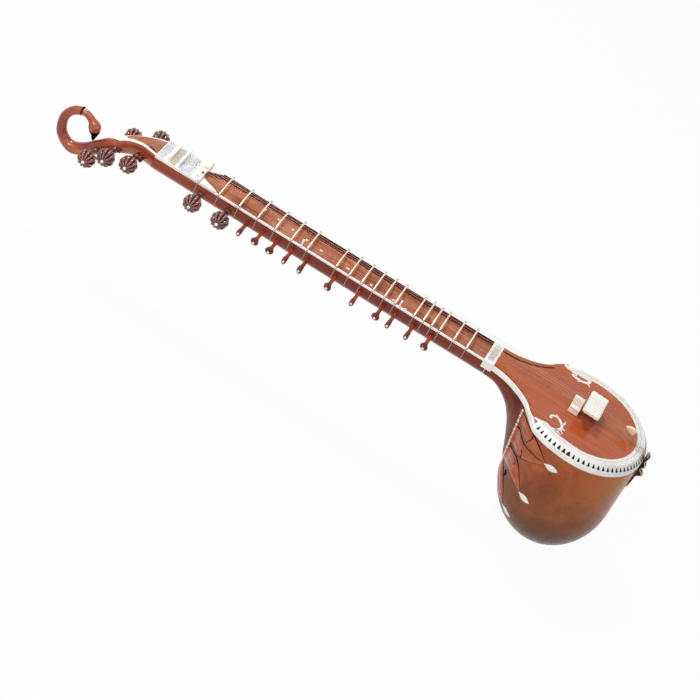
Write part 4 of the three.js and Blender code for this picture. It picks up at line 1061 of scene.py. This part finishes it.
def main_peg(half, reach):
    c = half + reach
    shaft = [(0.6, -half - 2.0), (3.2, -half - 1.9), (3.8, -half - 1.2), (5.3, half + GAP), (5.6, half + 0.8),
             (6.9, half + 1.8), (7.4, half + 3.2), (6.8, half + 4.8), (5.3, half + 6.2), (5.0, half + 8.5),
             (5.5, c - BALL - 3.5), (7.4, c - BALL - 1.6), (7.9, c - BALL - 0.4)]
    profile = smooth_profile(shaft[:4], 3)[:-1] + smooth_profile(shaft[3:], 4)
    plain = len(profile)
    for a in (mix(0.40, math.pi - 0.2, t) for t in shares(BALL_ROWS)):
        profile.append((BALL * math.sin(a), c - BALL * math.cos(a)))
    fluted = len(profile)
    profile += [(r, c + BALL + y) for r, y in ((3.3, -0.2), (3.2, 0.6), (2.8, 1.4), (1.8, 1.85), (0.3, 1.95))]

    def look(n, y, a):
        lobe = abs(math.cos(FLUTES * a / 2)) ** 0.7
        deep = 0.0
        if plain <= n < fluted:
            deep = FLUTE_DEPTH * min((n - plain) / 3, 1, (fluted - 1 - n) / 2 + 0.25)
        slim = 1 - deep * (1 - lobe)
        # The third value is high in the flutes' grooves for painted shade and 0 on their ridges for a painted
        # highlight; the shaft gets an even darker tone
        return slim, slim, mix(0.35, 1 - lobe, deep / FLUTE_DEPTH) * 0.95

    return turned_peg(profile, fluted, FLUTES * 14, look)


PEG_DEPTH = -18.5
REACH = {1: 35.0, -1: 41.0}
PEG_TURN, PEG_TURN_STEP = 0.13, 0.31
WINDING_R, WINDING_PITCH = 5.35, 0.12
pegs = []
for share, sink, side in ((.1125, .45, 1), (.17, .45, -1), (.35, .45, 1), (.405, .3, -1), (.57, .3, -1)):
    x = NECK_END - HEAD_LENGTH * share
    mid, _, down = head_at(x)
    pegs.append((x, mid - down * sink, head_at(x + 7.5)[1], side))
pegs += [(string_x(share), PEG_DEPTH - 2.7, HALF, -1) for share in (0.9303, 0.8627)]
for k, (x, z, half, side) in enumerate(pegs):
    node = f"main_peg_{k + 1}"
    place_peg(node, main_peg(half, REACH[side]), (x, z), PEG_TURN + PEG_TURN_STEP * k, side, side, PEG)
    if k < 5:
        turns = [(-6 + n * 1.3 + (k % 3) * 3) * (0.5 if k > 2 else 1) for n in range(4)]
        piece(node + "_winding", join(*[sweep(hoop(x, y, z, WINDING_R, 20, True, True, WINDING_PITCH), 0.5, 6)
                                        for y in turns]), STEEL, body=node)

SMALL_TURN = (.5, .1, 0, .45, .4, .15, .5, .05, .5, .45, .1)


def small_peg():
    c = HALF + 44.0
    shaft = [(0.5, -HALF), (2.6, -HALF), (2.8, -HALF + 0.6), (4.0, HALF), (4.15, HALF + 3), (4.7, HALF + 4.2),
             (4.7, HALF + 5.4), (3.9, HALF + 6.6), (3.7, HALF + 16)]
    knob = [(3.9, -14), (4.6, -12.2), (4.6, -11), (3.6, -9.6), (4.4, -8), (6.3, -6.3), (7.9, -3.5), (8.4, -0.4),
            (8.1, 2.4), (6.8, 4.8), (4.4, 6.4)]
    profile = smooth_profile(shaft[:4], 2)[:-1] + smooth_profile(shaft[3:] + [(r, c + y) for r, y in knob], 4)
    plain = len(profile)
    profile += [(2.5, c + 6.9), (2.4, c + 7.4), (1.7, c + 7.9), (0.3, c + 8.0)]

    def look(n, y, a):
        on_knob = y > c - 9 and n < plain
        return 1, 1 - 0.40 * math.exp(-((y - c) / 7.0) ** 4), 0.35 + 0.4 * abs(math.sin(a)) if on_knob else 0.0

    return turned_peg(profile, plain, 40, look)


for k, share in enumerate(SMALL):
    place_peg(f"small_peg_{k + 1:02d}", small_peg(), (string_x(share), PEG_DEPTH), SMALL_TURN[k] * math.pi, 1, -1,
              SMALL_PEG)

# ---- bridges
PLATE_X, PLATE_Y = 18.5, 38.0
SCALLOP_X, SCALLOP_Y = 1.6, 1.4


def scallop(count, t, size):
    return size * abs(math.sin(math.pi * count * t))


def bridge_outline():
    """The scalloped edge of the plate: one long and one short side, then both turned half round."""
    x0, y0 = PLATE_X - SCALLOP_X, PLATE_Y - SCALLOP_Y
    half = [Vector((x0 + scallop(7, t, SCALLOP_X), mix(-y0, y0, t), 0)) for t in shares(90)[:-1]]
    half += [Vector((mix(x0, -x0, t), y0 + scallop(3, t, SCALLOP_Y), 0)) for t in shares(40)[:-1]]
    return half + [-p for p in half]


layers = [(z, 1 - inset / PLATE_X, 1 - inset / PLATE_Y) for z, inset in
          ((25.0, 1.2), (25.3, 0.4), (26.2, 0.0), (31.2, 0.0), (32.2, 0.35), (32.7, 1.0))]
layers += [(32.9, 0.9, 0.9), (33.0, 0.6, 0.6)]
piece("bridge_top", loft([[Vector((BRIDGE_X + p.x * wide, p.y * long, z)) for p in bridge_outline()]
                          for z, wide, long in layers]), BRIDGE, node="bridge_plate", sharp=50)
STRING_Y = [mix(18, -34, i / 6) for i in range(7)]
piece("bridge_notches", join(*[box_shape(BRIDGE_X - 18.2, BRIDGE_X - 12.5, y - 0.22, y + 0.22, 32.6, 33.04)
                               for y in STRING_Y]), GREY)


def arch_profile(half, top, arch_half, arch_top, waist, steps=28):
    spring = mix(GAP, arch_top, 0.4)
    edge = [(half - waist * math.sin(math.pi * t), mix(GAP, top, t)) for t in shares(8)]
    pts = edge + [(-y, z) for y, z in reversed(edge)] + [(-arch_half, GAP)]
    for t in shares(steps):
        a = math.pi - math.pi * t
        pts.append((arch_half * math.cos(a), spring + (arch_top - spring) * math.sin(a)))
    return pts + [(arch_half, GAP)]


def arch_block(x0, x1, profile, inset):
    """An arched block with rounded faces along X."""
    stations = ((x0, inset), (x0 + inset * 0.4, inset * 0.3), (x0 + inset, 0), (mix(x0, x1, 0.5), 0),
                (x1 - inset, 0), (x1 - inset * 0.4, inset * 0.3), (x1, inset))
    return loft([[Vector((x, y - math.copysign(min(k, abs(y)), y), z - (k if z > 10 else 0) * 0.4))
                  for y, z in profile] for x, k in stations])


LEG_HALF, LEG_TOP, WAIST = 23, 24.7, 2.2
legs = [arch_block(BRIDGE_X - 15.5, BRIDGE_X + 15.5, arch_profile(LEG_HALF, LEG_TOP, 15.5, 19, WAIST), 0.8)]
for z in (3.0, 21.0):
    for side in (1, -1):
        y = side * (LEG_HALF - WAIST * math.sin(math.pi * z / LEG_TOP))
        legs.append(sweep([(BRIDGE_X - 15.3, y, z), (BRIDGE_X + 15.3, y, z)], 0.55, 8))
piece("bridge_stand", join(*legs), HEAD, node="bridge_legs")
SMALL_X, SMALL_WIDE = BRIDGE_X - 31, 10.5
piece("small_bridge_block", arch_block(SMALL_X - SMALL_WIDE, SMALL_X + SMALL_WIDE,
                                       arch_profile(23.5, 12.5, 19.5, 8, 0.5), 0.7),
      BRIDGE, node="small_bridge")
piece("small_bridge_lines", join(*[box_shape(SMALL_X + d, SMALL_X + d + 0.35, -22.3, 22.3, 12.0, 12.3)
                                   for d in (-6.5, -1.0, 5.5)]), GREY)

# ---- drone posts
POSTS = [string_x(share) for share in (0.454, 0.6937)]
post_profile = smooth_profile([(2.6, GAP), (2.6, 1.6), (1.9, 2.6), (1.8, 9.0), (2.2, 10.4), (2.25, 11.6),
                               (1.5, 12.6), (2.0, 13.8), (1.9, 14.8), (1.0, 15.3)], 3)
for k, x in enumerate(POSTS):
    piece(f"drone_post_{k + 1}_turned", loft([hoop(x, -HALF + 2.3, z, r, 24) for r, z in post_profile]),
          BONE, node=f"drone_post_{k + 1}")

# ---- tailpiece
TAIL_X = RIM_CENTRE + RIM_LENGTH + GAP
TAIL_LINE = [(6.5, 1.6), (8, 1.0), (7.2, -6), (5.6, -12), (9.6, -19), (10.2, -23), (5, -29), (6.5, -33),
             (13.5, -39), (15.6, -42.5), (10.5, -46), (4.6, -50), (4.4, -58), (3.4, -70), (2.2, -80), (1.6, -83)]
tail_pts = [spline([(TAIL_X + a, 0, b) for a, b in TAIL_LINE], t) for t in shares(60)]


def tail_half(z):
    return table([-83, -70, -52, -43, -30, -12, 2], [3.5, 6.5, 8.0, 4.6, 8.6, 8.2, 9.0], z)


rings = []
for q in (-1.0, -0.94, -0.6, -0.25, 0.0, 0.25, 0.6, 0.94, 1.0):
    bulge = mix(0.45, 1.0, math.sqrt(max(1 - abs(q) ** 2.6, 0.02)))
    ring = [Vector((TAIL_X, q * tail_half(p.z), p.z)) for p in reversed(tail_pts)]
    ring += [Vector((TAIL_X + 0.3 + (p.x - TAIL_X - 0.3) * bulge, q * tail_half(p.z), p.z)) for p in tail_pts]
    rings.append(ring)
piece("tailpiece_carved", loft(rings), TAIL, node="tailpiece", sharp=50)
knobs = []
for x, z, r in ((12.6, -40.5, 3.0), (8.2, -21.5, 2.6), (7.0, -2.4, 2.0)):
    profile = [(0.2, -r), (r * 0.6, -r * 0.8), (r, -r * 0.2), (r, r * 0.2), (r * 0.6, r * 0.8), (0.2, r)]
    knobs.append(loft([hoop(TAIL_X + x, y * 1.7, z, k, 24, True) for k, y in profile]))
piece("tailpiece_knobs", join(*knobs), BONE_WARM)
piece("tailpiece_veins", both(lambda side: sweep([(p.x - 1.2, side * tail_half(p.z) * 0.78, p.z)
                                                 for p in tail_pts[8:]], 0.7, 8)),
      BONE_WARM)

# ---- strings
TAIL_BAR, TAIL_BAR_Z, PLATE_EDGE = 150.5, 3.6, 33
WIRES = (0.13, 0.17, 0.22, 0.2, 0.16, 0.13, 0.13)
LAST_PEG = (0, 2, 4, 3, 1)
DRONE_Y = -HALF - 3.75
main, thin = [], []
for i, wire in enumerate(WIRES):
    at_tail = on_face(TAIL_BAR, mix(10, -10, i / 6), TAIL_BAR_Z)
    path = [at_tail, on_face(PLATE_EDGE, STRING_Y[i], 33.25), on_face(-4, STRING_Y[i], 33.25)]
    if i < 5:
        y = mix(14, -14, i / 4)
        last = LAST_PEG[i]
        path += [Vector((x, y, z)) for x, z in ((NUT_X + 2.5, 14.3), (NUT_X - 2.5, 14.3), (NUT_X - 22, 9),
                                                (NECK_END, 2.6))]
        for k, (x, z, _, _) in enumerate(pegs[:last + 1]):
            path.append(Vector((x, mix(y, y * (0.35 if last > 1 else 0.8), (k + 1) / (last + 1)),
                                z + (5.9 if k == last else 8.0))))
    else:
        x, z, _, _ = pegs[11 - i]
        path += [Vector((POSTS[i - 5], -HALF + 2, 15.6)), Vector((x + 7.5, DRONE_Y, 2.4)),
                 Vector((x, DRONE_Y, z + 7.8))]
    knot = hoop(at_tail.x - 0.9, at_tail.y, at_tail.z, 0.9, 12, True, True)
    main += [sweep(path, wire, 8), sweep(knot, 0.3, 6)]
main.append(sweep([on_face(TAIL_BAR, y, TAIL_BAR_Z) for y in (-11, 11)], 0.9, 12))
piece("main_strings_wire", join(*main), STEEL, node="main_strings", leaning=False)
for k, (x, hole_y) in enumerate(HOLES):
    y = mix(12, -12, k / 10)
    start = on_face(SMALL_X - SMALL_WIDE, y, 12.72)
    hole = Vector((x, hole_y, -7.5))
    over = []
    for edge in (SHOULDER_END, SHOULDER_END - 22):
        p = start.lerp(hole, (start.x - edge) / (start.x - x))
        over.append(Vector((edge, p.y, max(p.z, 2.2))))
    thin.append(sweep([on_face(142, y, -1.6), on_face(137, y, 2.1), on_face(SMALL_X + SMALL_WIDE, y, 12.72),
                       start, *over, hole, (x - 0.6, hole_y, -13), (x - 11, hole_y, -14.2)], 0.14, 6))
piece("sympathetic_strings_wire", join(*thin), BRASS, node="sympathetic_strings", leaning=False)

# ---- tuning bead
string_start, string_end = on_face(PLATE_EDGE, 18, 33.9), on_face(TAIL_BAR, 10, TAIL_BAR_Z)
BEAD_X = 96
bead_at = string_start.lerp(string_end, (BEAD_X - PLATE_EDGE) / (TAIL_BAR - PLATE_EDGE))
bead_turn = Vector((1, 0, 0)).rotation_difference((string_end - string_start).normalized()).to_matrix()
bead_mid = Vector((2.5, 0, 2.6))
bead_line = [quad((-11.5, 0, 0), (-5.75, 0, 11.9), (11.5, 0, 10.2), t) for t in shares(20)]
bead_line += [Vector((11.5, 0, mix(10.2, -4.25, i / 8))) for i in range(1, 8)]
bead_line += [quad((11.5, 0, -4.25), (0, 0, -6.8), (-11.5, 0, 0), i / 12) for i in range(12)]


def on_bead(p, shrink, y):
    return bead_at + bead_turn @ (bead_mid + (p - bead_mid) * shrink + Vector((0, y, 0)))


BEAD_LAYERS = ((-3.0, 0.74), (-2.6, 0.88), (-1.6, 0.97), (0, 1.0), (1.6, 0.97), (2.6, 0.88), (3.0, 0.74))
piece("tuning_bead_leaf", loft([[on_bead(p, k, y) for p in bead_line] for y, k in BEAD_LAYERS]),
      BONE_WARM, body="tuning_bead", node="tuning_bead", leaning=False, sharp=50)
bead_veins = [sweep([on_bead(quad((-11.5, 0, 0), (0, 0, z * 0.7), (10.5, 0, z), t), 0.86, y)
                     for t in shares(10, 2)], 0.28, 6) for z in (0.5, 4.5, 8) for y in (-2.95, 2.95)]
piece("tuning_bead_veins", join(*bead_veins), TAN, body="tuning_bead", leaning=False)


# ---- inlaid scrolls on the soundboard
INLAY_LOW, INLAY_HIGH = -0.25, 0.14
INLAY = ((-1, INLAY_LOW), (1, INLAY_LOW), (1, INLAY_HIGH), (-1, INLAY_HIGH))


def ribbon(path, widths):
    """A flat inlay of changing width along a smooth path on the face."""
    pts = [spline([(x, y, 0) for x, y in path], t) for t in shares(60)]
    rings = []
    for i, p in enumerate(pts):
        along = direction(pts, i)
        over = Vector((-along.y, along.x, 0)) * (even(widths, i / 60) / 2)
        rings.append(section(p, over, Vector((0, 0, 1)), INLAY))
    return loft(rings)


def scroll(disc, *ribbons):
    x, y, r = disc
    shapes = [ribbon(path, widths) for path, widths in ribbons]
    return join(*shapes[:2], slab(hoop(x, y, 0, r, 24), INLAY_LOW, INLAY_HIGH), *shapes[2:])


near_scroll = scroll(
    (-48, -75.5, 3.4),
    ([(-74, -106.5), (-66, -107), (-57, -105.7), (-41.6, -105.9), (-30, -103.9), (-22, -97)],
     [1, 5.5, 5.5, 4.5, 5.5, 6]),
    ([(-30, -104), (-23.5, -97), (-19.9, -88), (-22.5, -77.5), (-28.2, -69), (-35, -64), (-42.2, -64.3),
      (-48, -69.5), (-48.5, -75)], [5, 6.5, 6, 5.5, 6, 5, 4.5, 5, 3]),
    ([(-23, -78), (-19, -70), (-18.5, -60)], [5, 3.6, 0.6]),
    ([(-19.5, -87), (-15.5, -87.5), (-11.5, -89.5)], [5, 3.6, 0.6]),
    ([(-21, -94), (-16.5, -97.5), (-13, -103)], [4, 3.2, 0.6]),
    ([(-30, -104), (-22, -105.5), (-14, -108)], [5, 3.5, 0.8]),
    ([(-34, -65), (-37, -60), (-42, -57)], [4, 2.8, 0.5]))
far_scroll = scroll(
    (-45, 100.2, 2.8),
    ([(-74, 106.5), (-66, 107), (-57, 105.7), (-41.6, 107), (-30, 109), (-16, 112)], [1, 5.5, 5, 4.5, 5, 5]),
    ([(-14.5, 113), (-15.5, 105), (-19, 98.5), (-28, 93.5), (-38, 92.5), (-47, 92.8), (-50.5, 97), (-45, 100.5)],
     [5, 6, 6, 6, 6, 5.5, 4.5, 3]),
    ([(-18, 99), (-13.5, 95.5), (-10.5, 90.5)], [4.5, 3.2, 0.5]),
    ([(-33, 93), (-34, 88), (-38, 84.5)], [4, 2.8, 0.5]))
for name, shape in (("near", near_scroll), ("far", far_scroll)):
    piece("soundboard_scroll_" + name, shape, BONE, sharp=30)


# ---- carving on the body
BODY_MIDDLE = Vector((10, 0, -100))
SUNK = -0.7


def on_skin(p, lift=0.0):
    """The body's nearest point to p, which is given on the leaning body, raised along its normal."""
    p = Vector(p)
    p.z += drop(p.x)
    hit, normal, _, _ = SKIN.find_nearest(p * MM)
    if normal.dot(hit - BODY_MIDDLE * MM) < 0:
        normal = -normal
    return hit / MM + normal * lift


def skin_frame(p, along):
    """The nearest point of the body, its normal and the direction across a path."""
    base = on_skin(p)
    out = (on_skin(p, 1) - base).normalized()
    return base, out, along.cross(out).normalized()


def leaf(upper, lower):
    """A raised pointed leaf between two edge curves, dark along its rim."""
    steps, across, edge, height = 40, 24, 0.87, 2.0
    ts = [2 * k / across - 1 for k in range(across + 1)]
    rings = []
    for s in shares(steps):
        a, b = spline(upper, s), spline(lower, s)
        tops, lows = [], []
        for t in ts:
            swell = (1 - abs(t) ** 3) * mix(0.75, 1.0, math.sin(math.pi * min(s * 1.2, 1)))
            crease = 0.5 * math.exp(-(t / 0.12) ** 2)
            q = a.lerp(b, (t + 1) / 2)
            tops.append(on_skin(q, 0.2 + height * swell * (1 - s ** 6 * 0.7) - crease))
            lows.append(on_skin(q, SUNK))
        rings.append(tops + lows[::-1])
    mats = [1 if k < across and abs(2 * (k + 0.5) / across - 1) > edge else 0 for k in range(2 * across + 2)]
    return *loft(rings), mats * steps + [0, 0]


def bud(start, end, width):
    """A white pointed bud lying on the body."""
    along = (end - start).normalized()
    around = 14
    rings = []
    for s in shares(26):
        share = table([0, 0.12, 0.22, 0.5, 0.75, 1], [0.22, 0.3, 0.62, 1.0, 0.72, 0.04], s)
        base, _, over = skin_frame(start.lerp(end, s), along)
        tops, lows = [], []
        for t in (2 * k / around - 1 for k in range(around + 1)):
            q = base + over * (width / 2 * share * t)
            q.z -= drop(q.x)
            tops.append(on_skin(q, 0.25 + 2.6 * math.sqrt(max(1 - t * t, 0)) * share ** 0.6))
            lows.append(on_skin(q, SUNK))
        rings.append(tops + lows[::-1])
    return loft(rings)


def line_on_skin(path, width):
    """A raised line on the body that tapers at both ends."""
    pts = [spline(path, t) for t in shares(24)]
    rings = []
    for i, p in enumerate(pts):
        base, out, over = skin_frame(p, direction(pts, i))
        w = width * math.sqrt(max(math.sin(math.pi * (0.04 + 0.92 * i / 24)), 0.05)) / 2
        rings.append(section(base, over * w, out, ((-1, -0.4), (1, -0.4), (0.6, 2.6), (-0.6, 2.6))))
    return loft(rings)


TIP_1, TIP_2, TIP_3, TIP_4 = (-8.6, -137.4, -62), (-19.7, -123.2, -157.9), (-32.6, -94.9, -219.9), (-14, 0, -272)
LEAVES = [
    ([(-97, -82, -25), (-76, -104, -25), (-52, -124, -30), (-29, -134, -45), TIP_1],
     [(-95, -80.7, -50), (-80, -94, -56), (-64, -107, -60), (-36, -127, -62), TIP_1]),
    ([(-94, -79, -56), (-80, -92, -60), (-65.6, -106, -65), (-38, -126, -64), TIP_1],
     [(-89.5, -65.9, -110.5), (-74, -88, -106), (-57.2, -105.9, -101), (-34, -124, -84), TIP_1]),
    ([(-89, -65, -113), (-75, -85, -109), (-60, -101, -106), (-42.9, -114.2, -122), TIP_2],
     [(-80.3, -45, -163), (-72, -62, -158), (-62, -80, -153), (-42, -105, -154), TIP_2]),
    ([(-79, -43, -166), (-70, -62, -167), (-60.2, -79.7, -174), (-47.5, -93.5, -192), TIP_3],
     [(-69, -18, -200), (-62, -38, -206), (-56, -56, -212), (-45, -78, -219), TIP_3]),
]
MIDDLE_LEAF = [(-68, 16, -202), (-56, 24, -224), (-40, 22, -245), (-26, 10, -262), TIP_4]
BUDS = [((-12, -136.5, -62), (17.8, -140, -61.9), 13.5), ((-22.5, -122, -157.2), (4.7, -133.2, -160.6), 13),
        ((-35, -93.5, -219.5), (-9.5, -107.9, -227.6), 12)]
CURLS = [([(-58.8, -120.8, -25.4), (-55, -120, -34), (-56.3, -119.6, -43), (-60.5, -113.5, -57)], 3.2),
         ([(-60.5, -107, -80), (-56, -110.5, -88), (-55, -109, -98)], 2.8),
         ([(-61, -97.5, -113), (-56, -102, -118), (-58, -97, -126)], 2.6),
         ([(-64, -76, -160), (-61, -80, -168), (-62, -74, -176)], 2.6)]


def flip(points, side):
    """The near side's points as they are for side -1, and mirrored for side 1."""
    return [Vector((x, y * -side, z)) for x, y, z in points]


def carved(name, leaves):
    mats = [m for _, _, face_mats in leaves for m in face_mats]
    piece(name, join(*[(v, f) for v, f, _ in leaves]), [LEAF, INK], sharp=60,
          face_mats=mats)


for side, name in ((-1, "near"), (1, "far")):
    carved("carved_leaves_" + name, [leaf(flip(upper, side), flip(lower, side)) for upper, lower in LEAVES])
    piece("leaf_buds_" + name, join(*[bud(*flip((p, q), side), w) for p, q, w in BUDS]), BONE, sharp=60)
    piece("leaf_curls_" + name, join(*[line_on_skin(flip(path, side), w) for path, w in CURLS]), INK)
carved("carved_leaf_middle", [leaf(MIDDLE_LEAF, flip(MIDDLE_LEAF, 1))])

# A strip of small bone blocks over the seam between the neck's heel and the gourd
seam_axis = Vector((-SEAM_LEAN, 0, 1)).normalized()
seam_mid = Vector((SEAM_X + SEAM_LEAN * 95, 0, -95))
BLOCK_SPACING = 5.0
BLOCK_LENGTH = ((-2.2, 0.6), (-1.7, 0.95), (0, 1.05), (1.7, 0.95), (2.2, 0.6))
BLOCK_SECTION = ((-2.7, -0.5), (2.7, -0.5), (2.6, 1.2), (1.6, 1.9), (-1.6, 1.9), (-2.6, 1.2))
curve = []
for t in shares(400):
    a = mix(-0.42 * math.pi, 1.42 * math.pi, t)
    out = Vector((0, -1, 0)) * math.cos(a) - seam_axis * math.sin(a)
    hit, normal, _, _ = SKIN.ray_cast((seam_mid + out * 400) * MM, -out)
    if hit and hit.z / MM < cut_height(hit.x / MM) - 0.5:
        curve.append((hit / MM, normal))
blocks = []
base_rings = []
gone = 0.0
for (last, _), (hit, normal) in zip(curve, curve[1:]):
    gone += (hit - last).length
    along = (hit - last).normalized()
    over = along.cross(normal).normalized()
    if gone >= BLOCK_SPACING:
        blocks.append(loft([section(hit + along * d, over, normal, [(w * k, h * k if h > 0 else h)
                                                                    for w, h in BLOCK_SECTION])
                            for d, k in BLOCK_LENGTH]))
        gone = 0.0
    base_rings.append(section(hit, over, normal, ((-3.5, -0.6), (3.5, -0.6), (3.2, 0.5), (-3.2, 0.5))))
piece("seam_strip_base", loft(base_rings), WALL)
for k, (name, material) in enumerate((("white", BONE), ("tan", TAN))):
    piece("seam_strip_" + name, join(*blocks[k::2]), material, sharp=50)

# ---- stage and light
bpy.context.view_layer.update()
ground = bpy.data.meshes.new("floor")
bm = bmesh.new()
bmesh.ops.create_grid(bm, x_segments=2, y_segments=2, size=9)
bm.to_mesh(ground)
bm.free()
floor = link("floor", ground)
white = Maker("floor_white")
white.finish(white.blend(white.noise(3), srgb(222, 222, 222), srgb(228, 228, 228)), 0.9)
glow = white.node("Emission", {"Color": (1, 1, 1, 1), "Strength": 1.0})
mixer = white.node("MixShader", {0: white.math("MULTIPLY", white.seen(), 0.95), 1: white.shader.outputs[0],
                                 2: glow.outputs[0]})
white.put(white.out.inputs[0], mixer.outputs[0])
ground.materials.append(white.mat)

WORLD_LIGHT = 0.24
world = bpy.data.worlds.new("studio")
bpy.context.scene.world = world
world.use_nodes = True
sky = Nodes(world.node_tree)
back = sky.node("Background", {"Color": (1, 1, 1, 1), "Strength": sky.level(sky.seen(), 0, 1, WORLD_LIGHT, 1.0)})
sky.node("OutputWorld", {0: back.outputs[0]})

for name, where, aim, size, power in (("key", (-1.5, 1.0, 3.2), (-0.35, 0, 0.2), (0.6, 0.5), 56),
                                      ("strip", (-0.9, -1.45, 2.35), (-0.5, 0, 0.2), (2.6, 0.2), 17),
                                      ("front", (-1.6, -2.6, 2.2), (-0.3, 0, 0.2), (1.4, 1.0), 34),
                                      ("tail", (1.9, -1.3, 1.9), (0, 0, 0.2), (1.2, 1.2), 12)):
    data = bpy.data.lights.new(name, "AREA")
    data.shape = "RECTANGLE"
    data.size, data.size_y = size
    data.energy = power
    lamp = link(name, data)
    lamp.location = where
    lamp.rotation_euler = (Vector(aim) - Vector(where)).to_track_quat("-Z", "Y").to_euler()

bpy.context.scene.view_settings.view_transform = "Standard"
bpy.context.view_layer.update()
